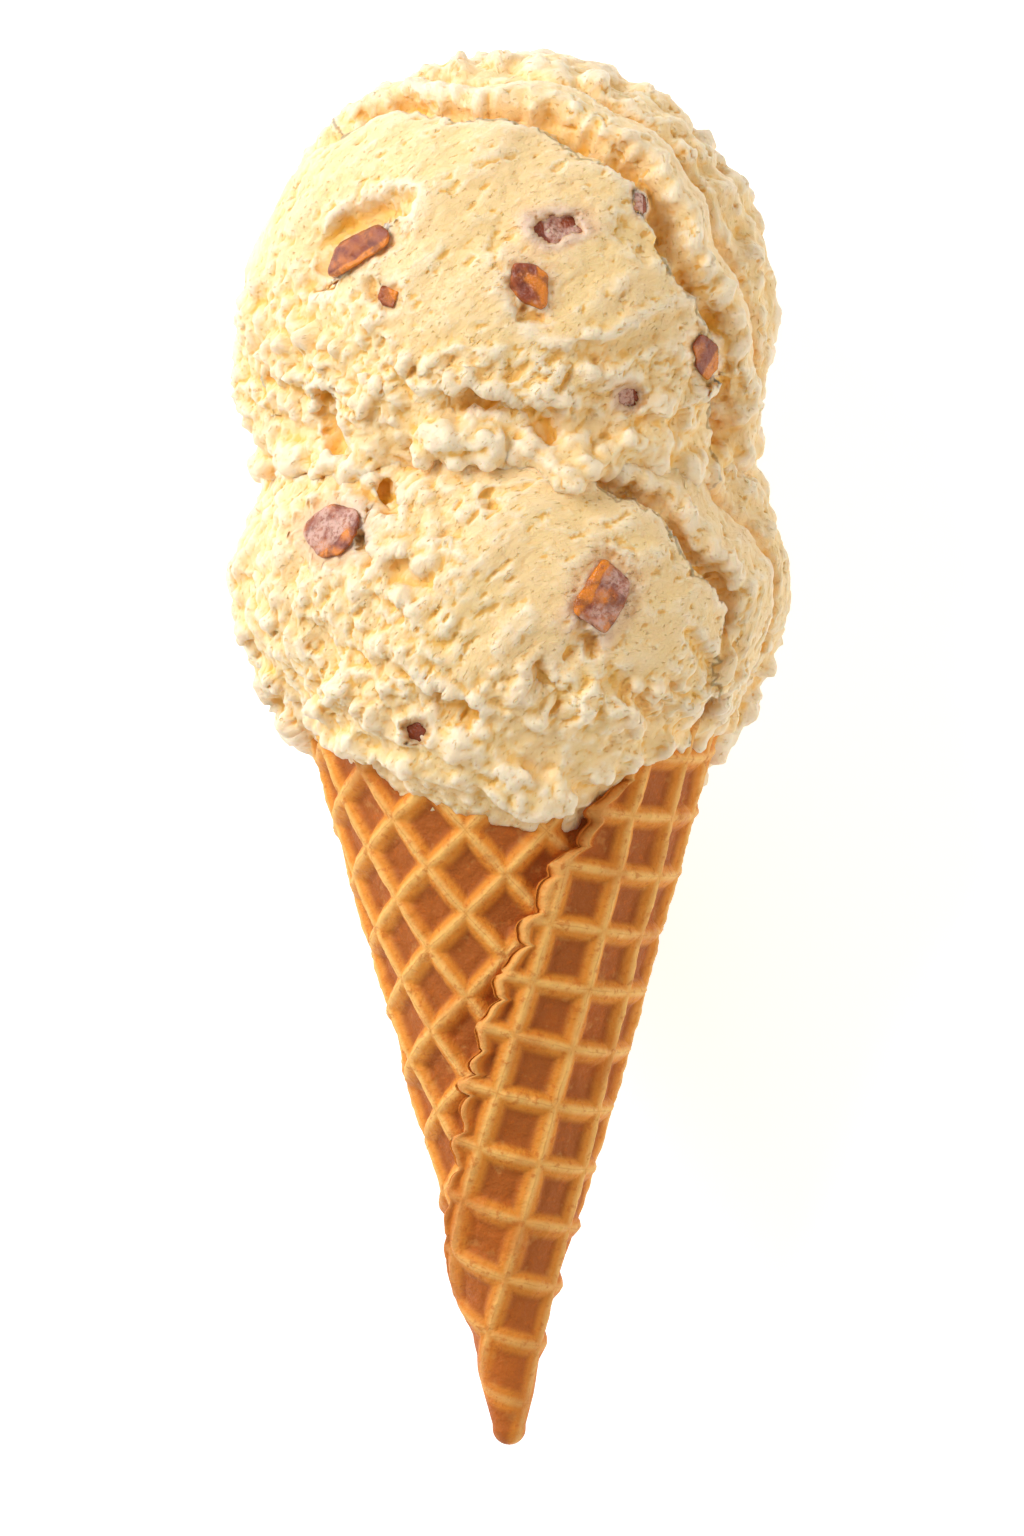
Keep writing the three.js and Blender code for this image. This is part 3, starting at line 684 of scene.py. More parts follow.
def layer_profile(scoop):
    """Angle from the pole and height over the ball, with an undercut below each edge."""
    lip, crest, groove = scoop["lip"], scoop["crest"], scoop["groove"]
    return (
        (0.0, 0.9), (lip - 14.0, 1.1), (lip - 4.0, 0.9), (lip, 0.7), (lip + 1.8, -0.4),
        (lip + 0.8, -2.0), (lip + 1.2, -4.6), (lip + 3.4, -5.6), (lip + 6.2, -5.0),
        (crest - 2.0, -1.0), (crest - 0.4, 1.0), (crest + 1.4, 1.6), (crest + 4.0, 1.0),
        (groove - 3.0, 0.5), (groove + 0.4, -0.3), (groove - 1.0, -2.6), (groove + 0.4, -5.0),
        (groove + 3.4, -3.8), (groove + 6.0, -0.9), (groove + 14.0, -0.8), (groove + 40.0, 0.0),
        (180.0, 0.0),
    )


def sample_profile(profile, radius, count):
    """Angles and heights at even steps along a profile."""
    angles, heights = np.array(profile).T
    steps = np.hypot(np.diff(np.radians(angles) * radius), np.diff(heights))
    lengths = np.concatenate(((0.0,), np.cumsum(steps)))
    wanted = np.linspace(0.0, lengths[-1], count + 1)
    return np.interp(wanted, lengths, angles), np.interp(wanted, lengths, heights)


BALL_COLUMNS = 330
BALL_ROWS = 300


def scoop_ball(scoop):
    """A swollen ball with the scoop's layers as steps."""
    pole, side, third = layer_axes(scoop)
    angles, heights = sample_profile(layer_profile(scoop), scoop["radius"], BALL_ROWS)

    def place(column, row):
        turn = 2.0 * math.pi * column / BALL_COLUMNS
        plain = angles[row]
        near = smoothstep(scoop["lip"] * 0.4, scoop["lip"], plain)
        near = near * (1.0 - smoothstep(110.0, 160.0, plain))
        gamma = np.radians(plain + near * edge_shift(scoop, turn, heights[row]))
        directions = np.cos(gamma)[:, None] * pole - (np.sin(gamma) * np.cos(turn))[:, None] * side
        directions = directions + (np.sin(gamma) * np.sin(turn))[:, None] * third
        layer = layer_strength(scoop, directions) * heights[row]
        radius = scoop["radius"] + np.maximum(layer, 0.0) + swell(directions, scoop["salt"])
        for towards, width, rise in scoop["bulges"]:
            away = np.degrees(np.arccos(np.clip(directions @ unit(towards), -1.0, 1.0))) / width
            radius = radius + rise * np.exp(-away * away)
        if scoop["top"]:
            up = np.maximum(directions[:, 1], 1e-6)
            for _ in range(4):
                across = radius * np.sqrt(np.clip(1.0 - directions[:, 1] ** 2, 0.0, 1.0))
                radius = np.minimum(radius, (scoop["top"] - TOP_DOME * across ** 2) / up)
        # Grooves run down rather than inwards, so that they show from above
        sinking = directions.copy()
        sinking[:, 2] += 1.3 * smoothstep(0.05, 0.4, directions[:, 2])
        sinking = sinking / np.linalg.norm(sinking, axis=1)[:, None]
        sunk = sinking * np.minimum(layer, 0.0)[:, None]
        return directions * radius[:, None] + sunk + scoop["centre"]

    return mapped_sphere(BALL_COLUMNS, BALL_ROWS, place)


def lump_shape(centre, size, salt):
    """Where a lump goes and how it is stretched."""
    roll = Matrix.Rotation(6.283 * draw(salt, 8), 4, "X")
    turned = roll @ Matrix.Rotation(6.283 * draw(salt, 9), 4, "Z")
    stretch = Matrix.Diagonal((
        size * (0.85 + 0.45 * draw(salt, 5)),
        size * (0.7 + 0.35 * draw(salt, 6)),
        size * (0.8 + 0.3 * draw(salt, 7)),
        1.0,
    ))
    return Matrix.Translation(Vector(centre)) @ turned @ stretch


LUMPS_AT_ONCE = 24


def add_lumps(mesh, shapes):
    """Adds a ball for each shape, a few at a time."""
    for start in range(0, len(shapes), LUMPS_AT_ONCE):
        few = bmesh.new()
        for shape in shapes[start:start + LUMPS_AT_ONCE]:
            bmesh.ops.create_icosphere(few, subdivisions=2, radius=1.0, matrix=shape)
        data = to_data(few, "lumps")
        mesh.from_mesh(data)
        bpy.data.meshes.remove(data)


def front_point(scoop, x, y, lift=0.0):
    """The point of a scoop's front that is seen at x and y."""
    centre = np.array(scoop["centre"])
    across = x - centre[0]
    up = y - centre[1]
    out = math.sqrt(max(16.0, (scoop["radius"] + lift) ** 2 - across ** 2 - up ** 2))
    return centre + (across, up, out)


def skirt_drop(skirt, turn):
    """How far a skirt wanders along the cone, with a tongue on the shown side."""
    waves = math.sin(3 * turn + skirt["salt"]) + 0.8 * math.sin(7 * turn + 2 * skirt["salt"])
    waves += 0.6 * math.sin(12 * turn + 3 * skirt["salt"])
    return skirt["ragged"] * waves / 2.0 - skirt["tilt"] * max(0.0, math.cos(turn)) ** 2


SKIRT_LUMPS = 170


def skirt_lumps(skirt):
    """A rolled lip of many lumps, where a scoop sits on what is below it."""
    shapes = []
    for number in range(SKIRT_LUMPS):
        turn = 2.0 * math.pi * (number + draw(number, skirt["salt"])) / SKIRT_LUMPS
        section = 2.0 * math.pi * draw(number, skirt["salt"] + 1)
        spread = skirt["roll"] * 0.6 * math.sqrt(draw(number, skirt["salt"] + 2))
        size = skirt["roll"] * (0.34 + 0.46 * draw(number, skirt["salt"] + 3))
        radius = skirt["radius"] + spread * math.cos(section)
        along = skirt["along"] + skirt_drop(skirt, turn) + spread * math.sin(section)
        centre = (AXIS_X + radius * math.sin(turn), along, AXIS_HEIGHT + radius * math.cos(turn))
        shapes.append(lump_shape(centre, size, number + skirt["salt"] * 100))
    return shapes


# Degrees past the groove, how many, their radius and the share of it that is sunk
BEAD_RINGS = (
    (8.0, 44, 2.5, 0.3),
    (14.0, 46, 2.8, 0.25),
    (21.0, 46, 3.0, 0.05),
    (28.0, 44, 2.9, 0.05),
)


def beads(scoop):
    """Popped lumps along the outermost layer."""
    pole, side, third = layer_axes(scoop)
    shapes = []
    for rise, count, size, sunk in BEAD_RINGS:
        for number in range(count):
            salt = number + 100.0 * rise
            turn = 2.0 * math.pi * (number + 0.8 * draw(salt, 71)) / count
            angle = math.radians(scoop["groove"] + rise + 4.0 * draw(salt, 72))
            direction = math.cos(angle) * pole - math.sin(angle) * math.cos(turn) * side
            direction = direction + math.sin(angle) * math.sin(turn) * third
            lump = size * (0.65 + 0.5 * draw(salt, 73))
            spot = scoop["centre"] + direction * (scoop["radius"] - sunk * lump - 0.3)
            shapes.append(lump_shape(spot, lump, salt))
    return shapes


def remeshed(mesh, voxel):
    """One closed skin round everything in a mesh."""
    holder = bpy.data.objects.new("skin", to_data(mesh, "skin"))
    bpy.context.collection.objects.link(holder)
    modifier = holder.modifiers.new("skin", "REMESH")
    modifier.mode = "VOXEL"
    modifier.voxel_size = voxel
    graph = bpy.context.evaluated_depsgraph_get()
    skin = bpy.data.meshes.new_from_object(holder.evaluated_get(graph))
    plain = holder.data
    bpy.data.objects.remove(holder)
    bpy.data.meshes.remove(plain)
    return skin


def drop_loose_parts(data):
    """Keeps only the largest connected part of a mesh."""
    ends = np.empty(len(data.edges) * 2, dtype=np.int32)
    data.edges.foreach_get("vertices", ends)
    first, second = ends.reshape(-1, 2).T
    labels = np.arange(len(data.vertices))
    while True:
        lower = labels.copy()
        np.minimum.at(lower, first, labels[second])
        np.minimum.at(lower, second, labels[first])
        lower = lower[lower]
        if np.array_equal(lower, labels):
            break
        labels = lower
    main_part = np.bincount(labels).argmax()
    mesh = bmesh.new()
    mesh.from_mesh(data)
    loose = [vertex for vertex, label in zip(mesh.verts, labels) if label != main_part]
    bmesh.ops.delete(mesh, geom=loose, context="VERTS")
    mesh.to_mesh(data)
    mesh.free()


def refined_front(data, height):
    """Halves the faces on the shown side."""
    mesh = bmesh.new()
    mesh.from_mesh(data)
    edges = set()
    for face in mesh.faces:
        if face.calc_center_median().z > height:
            edges.update(face.edges)
    bmesh.ops.subdivide_edges(mesh, edges=list(edges), cuts=1, use_grid_fill=True)
    mesh.to_mesh(data)
    mesh.free()


def surface_facts(scoop, points):
    """Angle from the pole, direction of the scrape, and how torn the cream is, at each point."""
    pole, side, third = layer_axes(scoop)
    offset = points - scoop["centre"]
    distance = np.linalg.norm(offset, axis=1)
    directions = offset / distance[:, None]
    from_pole = np.degrees(np.arccos(np.clip(directions @ pole, -1.0, 1.0)))
    turn = np.arctan2(directions @ third, -(directions @ side))
    from_edge = from_pole - edge_shift(scoop, turn, np.zeros(len(turn)))
    x, y, z = points.T

    lean = np.radians(mix(scoop["flow"][0], scoop["flow"][1], smoothstep(-16.0, 22.0, x)))
    dome = np.stack((
        offset[:, 0] * np.cos(lean) + offset[:, 1] * np.sin(lean),
        offset[:, 1] * np.cos(lean) - offset[:, 0] * np.sin(lean), offset[:, 2],
    ), axis=1)
    around = np.arctan2(directions @ side, -(directions @ third))
    around = around * scoop["radius"] * np.sin(np.radians(from_pole))
    ring = np.stack((around, np.radians(from_edge) * scoop["radius"], distance), axis=1)
    strength = layer_strength(scoop, directions)
    outside = (from_edge > scoop["lip"] + 1.0) & (strength > 0.75)
    flow = np.where(outside[:, None], ring, dome)

    patch = rolling(points * 0.1, scoop["salt"])
    if scoop is UPPER:
        bound = 57.5 + 8.0 * smoothstep(-8.0, -30.0, x)
        torn = smoothstep(bound + 3.0, bound - 4.0, y + 5.0 * patch)
    else:
        torn = smoothstep(15.0, 8.0, y + 4.0 * patch)
        torn = np.maximum(torn, 0.65 * smoothstep(-1.0, -9.0, x + 6.0 * patch))
    torn = torn * (1.0 - 0.6 * outside)
    rolled = scoop["skirt"]["along"] - 0.6 * scoop["skirt"]["tilt"] + 0.5 * scoop["skirt"]["roll"]
    calm = 1.0 - smoothstep(rolled, rolled + 4.0, y + 3.0 * patch)
    torn = torn * (1.0 - 0.5 * calm)
    lip, crest, groove = scoop["lip"], scoop["crest"], scoop["groove"]
    torn = np.maximum(torn, 0.25 * smoothstep(groove - 1.0, groove + 3.0, from_edge))
    torn = np.maximum(torn, 0.4 * smoothstep(0.1, -0.5, directions[:, 2]))
    first = smoothstep(lip + 0.5, lip + 2.5, from_edge)
    first = first * (1.0 - smoothstep(crest - 6.0, crest + 0.5, from_edge))
    second = smoothstep(groove - 1.5, groove, from_edge)
    second = second * (1.0 - smoothstep(groove + 3.0, groove + 9.0, from_edge))
    return {
        "from_edge": from_edge, "flow": flow, "ring": ring, "strength": strength, "calm": calm,
        "torn": np.clip(torn, 0.0, 1.0),
        "front": smoothstep(-4.0, 4.0, offset[:, 2]),
        # Where the cream gets painted shade in the trenches behind the layers' edges
        "trench": np.maximum(first, 0.8 * second) * smoothstep(0.3, 0.8, strength),
    }


def named_relief(scoop, points, front):
    """The hollows and ridges that a scoop lists."""
    relief = np.zeros(len(points))
    shake = 0.5 * rolling(points * 0.45, 3) + 0.35 * rolling(points * 0.9, 4)
    for path, width, height in scoop["features"]:
        reach = path_distance(points, path) / width + shake
        relief = relief + front * height * (1.0 - smoothstep(0.55, 1.25, reach))
    return relief


def large_relief(scoop, points, facts):
    """Listed hollows and ridges, and soft ribs across the wall behind the first edge."""
    relief = 0.5 * rolling(points * 0.08, 1) + 0.4 * rolling(points * 0.2, 2)
    relief = relief + named_relief(scoop, points, facts["front"])
    wall = smoothstep(scoop["lip"] + 2.0, scoop["lip"] + 5.0, facts["from_edge"])
    wall = wall * (1.0 - smoothstep(scoop["crest"], scoop["crest"] + 4.0, facts["from_edge"]))
    wall = wall * smoothstep(0.3, 0.6, facts["strength"])
    ribs = 2.6 * np.abs(rolling(facts["ring"] * (0.20, 0.08, 0.05), 5))
    ribs = ribs + 1.6 * np.abs(rolling(facts["ring"] * (0.36, 0.2, 0.1), 6))
    return relief + 1.2 * wall * (ribs - 0.6)


def fine_relief(scoop, points, facts, crags):
    """Torn steps, pits, curds and popped lumps, in millimetres."""
    flow, torn = facts["flow"], facts["torn"]
    sheet = rolling(flow * (0.10, 0.27, 0.2), 12) + 0.4 * rolling(flow * (0.30, 0.62, 0.5), 13)
    sheet = sheet + 0.2 * rolling(points * 1.05, 14)
    steps = sum(smoothstep(low, low + 0.1, sheet) for low in (-0.28, 0.0, 0.28))
    relief = (0.17 + 0.14 * torn) * (1.0 - 0.4 * facts["calm"]) * (steps - 1.5)

    patch = rolling(points * 0.13, 17)
    pit = rolling(flow * (0.36, 0.80, 0.6), 15) + 0.25 * rolling(points * 1.3, 16)
    pits = smoothstep(0.32, 0.54, pit + 0.3 * patch)
    relief = relief - (0.45 + 0.3 * torn) * (1.0 - 0.6 * facts["calm"]) * pits

    bent = points + 0.9 * np.stack([rolling(points * 0.35, salt) for salt in (24, 25, 26)], axis=1)
    curds = 2.8 * np.abs(rolling(bent * 0.19, 18)) + 1.5 * np.abs(rolling(bent * 0.38, 19))
    blobs = np.zeros(len(points))
    for cell, salt in ((3.8, 20), (2.6, 23)):
        near, mark = nearest_seed(bent / cell, salt)
        size = 0.30 + 0.30 * mark
        blob = cell * size * np.clip(1.0 - (near / size) ** 2, 0.0, 1.0)
        blobs = np.maximum(blobs, blob * (mark > 0.3))
    relief = relief + torn * crags * (curds - 0.95 + 0.55 * blobs)
    return relief + 0.16 * rolling(points * 0.6, 21) + 0.04 * rolling(points * 1.4, 22)


# The higher a power, the sharper the corners of an outline or the edges of a piece
OUTLINE_POWER = 10.0
PIECE_POWER = 9.0
BED_SIZE = 12.0
PIECE_SUBDIVISIONS = 5


def outline_reach(outline, places):
    """How far out places lie from the middle of an outline, which itself is at 1."""
    corners = np.array(outline)
    middle = corners.mean(axis=0)
    total = np.full(len(places), 1e-9)
    for start, end in zip(corners, np.roll(corners, -1, axis=0)):
        square = unit((end[1] - start[1], start[0] - end[0]))
        share = (places - middle) @ square / ((start - middle) @ square)
        total += np.maximum(share, 0.0) ** OUTLINE_POWER
    return total ** (1.0 / OUTLINE_POWER)


def bed_pralines(scoop, points, carved):
    """Cream that gives way under each praline and laps over its edge, and where it is stained."""
    points = points.copy()
    stain = np.zeros(len(points))
    shake = 0.30 * rolling(points * 0.7, 31) + 0.16 * rolling(points * 1.6, 32)
    for piece in PRALINES:
        if piece.scoop is not scoop:
            continue
        middle = front_point(scoop, *np.mean(piece.outline, axis=0))
        close = np.linalg.norm(points - middle, axis=1) < BED_SIZE
        rough = shake[close]
        reach = outline_reach(piece.outline, points[close, :2]) + rough
        away = points[close, :2] - scoop["centre"][:2]
        rise = np.sqrt(np.maximum(25.0, scoop["radius"] ** 2 - np.sum(away ** 2, axis=1)))
        cover = min(1.0, max(0.0, -piece.lift))
        lap = 0.3 + 1.8 * rough + 0.1 * piece.lift + 1.2 * np.minimum(carved[close], 0.0)
        floor = piece.lift - 0.8 + cover * (0.5 + 3.0 * rough)
        bed = mix(np.minimum(floor, lap), lap, smoothstep(0.62, 0.98, reach))
        bed = scoop["centre"][2] + rise + bed
        points[close, 2] = mix(points[close, 2], bed, 1.0 - smoothstep(1.1, 1.7, reach))
        share = (0.20 + 0.5 * piece.frost) * (1.0 - smoothstep(0.9, 1.9, reach))
        stain[close] = np.maximum(stain[close], share)
    return points, stain


def make_scoop(scoop, settings):
    mesh = scoop_ball(scoop)
    shapes = skirt_lumps(scoop["skirt"]) + beads(scoop)
    for number, (x, y, size, lift) in enumerate(scoop["lumps"]):
        centre = front_point(scoop, x, y, lift - 0.6 * size)
        if scoop is LOWER and y < 0.0:
            wafer = CONE_SLOPE * (y - APEX_Y) + WAFER * MIDDLE_OF_STEP
            out = math.sqrt(max(9.0, wafer ** 2 - (x - AXIS_X) ** 2))
            centre[2] = AXIS_HEIGHT + out + 0.15 * size + 0.5 * lift
        if scoop is UPPER and y < 46.0 and abs(x) < 24.0:
            centre[2] = max(centre[2], front_point(LOWER, x, y, 1.2 + 1.2 * lift)[2])
        shapes.append(lump_shape(centre, size, number + 500))
    add_lumps(mesh, shapes)
    data = remeshed(mesh, settings.voxel)
    drop_loose_parts(data)
    points = averaged(data, points_of(data), 1)
    move_points(data, points)
    facts = surface_facts(scoop, points)
    move_points(data, points + normals_of(data) * large_relief(scoop, points, facts)[:, None])
    refined_front(data, scoop["centre"][2] + 2.0)
    points = averaged(data, points_of(data), 1)
    move_points(data, points)
    facts = surface_facts(scoop, points)
    points = points + normals_of(data) * fine_relief(scoop, points, facts, settings.crags)[:, None]
    points, stain = bed_pralines(scoop, points, named_relief(scoop, points, facts["front"]))
    points[:, 2] = np.maximum(points[:, 2], 0.05)
    move_points(data, points)
    # Crack and hollow depths, with the trenches behind the layers' edges, set where the cream gets
    # painted shade and painted highlight
    attributes = (
        ("crack", hollow_depth(data, 4)),
        ("hollow", hollow_depth(data, 40) + 0.9 * facts["trench"]),
        ("flow", facts["flow"]), ("stain", stain), ("calm", facts["calm"]),
    )
    material = cream_material(settings)
    finish_piece(data, scoop["name"], material, (scoop["node"],), attributes)


# Praline pieces

def make_praline(number, settings):
    piece = PRALINES[number]
    mesh = bmesh.new()
    bmesh.ops.create_icosphere(mesh, subdivisions=PIECE_SUBDIVISIONS, radius=1.0)
    data = to_data(mesh, "praline")
    directions = points_of(data)
    directions = directions / np.linalg.norm(directions, axis=1)[:, None]
    middle = np.mean(piece.outline, axis=0)
    around = outline_reach(piece.outline, middle + directions[:, :2])
    across = np.abs(directions[:, 2]) / (0.5 * piece.depth)
    size = (around ** PIECE_POWER + across ** PIECE_POWER) ** (-1.0 / PIECE_POWER)
    points = directions * size[:, None]
    shifted = points + (number * 9.0, 0.0, 0.0)
    bump = 0.30 * rolling(shifted * 0.45, 41) + 0.22 * rolling(shifted * 1.1, 42)
    bump = bump + 0.12 * rolling(shifted * 2.6, 43)
    points = points + directions * bump[:, None]

    # The amber strip lies on the listed side; on the ninth piece that is its lit side, so there it is
    # painted light
    angle = math.radians(piece.amber_side)
    towards = (math.cos(angle), math.sin(angle))
    width = max(np.dot(np.subtract(corner, middle), towards) for corner in piece.outline)
    strip = points[:, :2] @ towards / width + 0.2 * rolling(shifted * 0.6, 44)
    strip = smoothstep(0.30, 0.55, strip)
    frosted = piece.frost + 0.45 * rolling(shifted * 0.4, 45) + 0.2 * rolling(shifted * 1.5, 46)
    glow = piece.amber * (0.4 + 1.6 * strip) + 0.7 * rolling(shifted * 0.45, 47)

    # Seen from above the piece keeps its outline, and it leans with the cream below it
    centre = front_point(piece.scoop, *middle)
    away = centre - piece.scoop["centre"]
    lean = points[:, :2] @ (away[:2] / away[2])
    points = points + centre
    points[:, 2] += piece.lift - 0.5 * piece.depth - lean
    move_points(data, averaged(data, points, 1))
    title = f"{number + 1:02d}"
    finish_piece(
        data, "toffee_" + title, praline_material(settings), ("praline_" + title,),
        (("frost", frosted * (1.0 - strip)), ("amber", np.clip(glow, 0.0, 1.0))),
    )


# Materials

class Nodes:
    """Short ways to add and join a material's nodes."""

    def __init__(self, name):
        self.material = bpy.data.materials.get(name) or bpy.data.materials.new(name)
        self.material.use_nodes = True
        self.tree = self.material.node_tree
        self.tree.nodes.clear()
        self.shader = self.tree.nodes.new("ShaderNodeBsdfPrincipled")
        output = self.tree.nodes.new("ShaderNodeOutputMaterial")
        self.tree.links.new(self.shader.outputs[0], output.inputs["Surface"])

    def add(self, kind, **settings):
        node = self.tree.nodes.new(kind)
        for name, value in settings.items():
            setattr(node, name, value)
        return node

    def join(self, output, socket):
        self.tree.links.new(output, socket)

    def fill(self, socket, value):
        if hasattr(value, "is_linked"):
            self.join(value, socket)
        elif isinstance(value, (int, float)):
            socket.default_value = value
        else:
            socket.default_value = (*value, 1.0)

    def object_place(self):
        return self.add("ShaderNodeTexCoord").outputs["Object"]

    def attribute(self, name, output="Fac"):
        return self.add("ShaderNodeAttribute", attribute_name=name).outputs[output]

    def noise(self, where, scale, detail=3.0, roughness=0.5):
        """Noise from 0 to 1 with waves of scale, which may differ by direction."""
        mapping = self.add("ShaderNodeMapping")
        if not isinstance(scale, tuple):
            scale = (scale, scale, scale)
        mapping.inputs["Scale"].default_value = scale
        self.join(where, mapping.inputs["Vector"])
        texture = self.add("ShaderNodeTexNoise")
        texture.inputs["Scale"].default_value = 1.0
        texture.inputs["Detail"].default_value = detail
        texture.inputs["Roughness"].default_value = roughness
        self.join(mapping.outputs["Vector"], texture.inputs["Vector"])
        return texture.outputs["Fac"]

    def spread(self, value, low, high, first=0.0, second=1.0):
        node = self.add("ShaderNodeMapRange", interpolation_type="SMOOTHSTEP")
        node.inputs["From Min"].default_value = low
        node.inputs["From Max"].default_value = high
        node.inputs["To Min"].default_value = first
        node.inputs["To Max"].default_value = second
        self.join(value, node.inputs["Value"])
        return node.outputs["Result"]

    def maths(self, operation, first, second):
        node = self.add("ShaderNodeMath", operation=operation)
        self.fill(node.inputs[0], first)
        self.fill(node.inputs[1], second)
        return node.outputs["Value"]

    def total(self, *parts):
        """Sum of values, each given with its share."""
        value = 0.0
        for part, share in parts:
            value = self.maths("ADD", self.maths("MULTIPLY", part, share), value)
        return value

    def blend(self, share, first, second):
        node = self.add("ShaderNodeMix", data_type="RGBA")
        self.fill(node.inputs["Factor"], share)
        colours = [socket for socket in node.inputs if socket.type == "RGBA"]
        self.fill(colours[0], first)
        self.fill(colours[1], second)
        return [socket for socket in node.outputs if socket.type == "RGBA"][0]

    def tint(self, colour, layers):
        """A colour with others laid over it, each as far as its value lies between two bounds."""
        for value, low, high, share, other in layers:
            colour = self.blend(self.spread(value, low, high, 0.0, share), colour, other)
        return colour

    def soften(self, weight, radius, scale):
        """Light that spreads below the surface."""
        self.shader.inputs["Subsurface Weight"].default_value = weight
        self.shader.inputs["Subsurface Radius"].default_value = radius
        self.shader.inputs["Subsurface Scale"].default_value = scale

    def bump(self, height, distance):
        """Relief from a height given in shares of distance, in metres."""
        node = self.add("ShaderNodeBump")
        node.inputs["Strength"].default_value = 1.0
        node.inputs["Distance"].default_value = distance
        self.join(height, node.inputs["Height"])
        self.join(node.outputs["Normal"], self.shader.inputs["Normal"])


MOTTLE_COLOUR = (0.94, 0.67, 0.38)
# Painted shade for the wafer's pockets and the step under the sheet's edge
WAFER_PAINTED_SHADE = (0.35, 0.10, 0.02)
CREASE_COLOUR = (0.58, 0.19, 0.03)
VEIN_COLOUR = (0.14, 0.022, 0.008)
TABLE_COLOURS = ((0.93, 0.945, 0.96), (0.94, 0.955, 0.965))


def cream_material(settings):
    nodes = Nodes("cream")
    shader = nodes.shader
    where = nodes.object_place()
    flow = nodes.attribute("flow", "Vector")
    crack = nodes.attribute("crack")
    hollow = nodes.attribute("hollow")

    streaks = nodes.noise(flow, (0.30, 1.9, 1.2), 4.0, 0.6)
    flakes = nodes.noise(flow, (0.42, 0.85, 0.7), 4.0, 0.55)
    steps = nodes.total(
        (nodes.spread(flakes, 0.44, 0.455), 0.4), (nodes.spread(flakes, 0.52, 0.535), 0.4),
        (nodes.spread(flakes, 0.60, 0.615), 0.4),
    )
    pores = nodes.spread(nodes.noise(flow, (0.9, 1.9, 1.5), 2.0), 0.64, 0.72)
    crumbs = nodes.noise(where, 1300.0, 4.0, 0.6)
    grain = nodes.noise(where, 4200.0, 2.0)

    # Painted light: paler cream where the surface stands out is a painted highlight, deeper orange
    # cream in hollows, cracks and trenches is painted shade
    colour = nodes.tint(settings.cream_colour, (
        (hollow, 0.05, -0.55, 1.0, settings.painted_highlight_colour),
        (hollow, 0.15, 1.5, 0.9, settings.painted_shade_colour),
        (crack, 0.02, 0.17, 0.7, settings.painted_shade_colour),
        (crack, -0.02, -0.12, 0.5, settings.painted_highlight_colour),
    ))
    # Painted shade in the pits
    colour = nodes.blend(nodes.maths("MULTIPLY", pores, 0.45), colour, settings.painted_shade_colour)
    colour = nodes.tint(colour, ((nodes.noise(where, 130.0, 3.0), 0.35, 0.7, 0.35, MOTTLE_COLOUR),))
    colour = nodes.blend(nodes.attribute("stain"), colour, settings.stain_colour)
    nodes.join(colour, shader.inputs["Base Color"])
    nodes.join(nodes.spread(grain, 0.3, 0.7, 0.34, 0.52), shader.inputs["Roughness"])
    shader.inputs["Specular IOR Level"].default_value = 0.4
    nodes.soften(0.45, (1.0, 0.75, 0.4), 0.0012)
    relief = nodes.total(
        (streaks, 0.32), (steps, 0.4), (pores, -0.8), (crumbs, 0.16), (grain, 0.06),
    )
    rough = nodes.spread(nodes.attribute("calm"), 0.0, 1.0, 1.0, 0.6)
    nodes.bump(nodes.maths("MULTIPLY", relief, rough), 0.0004)
    return nodes.material


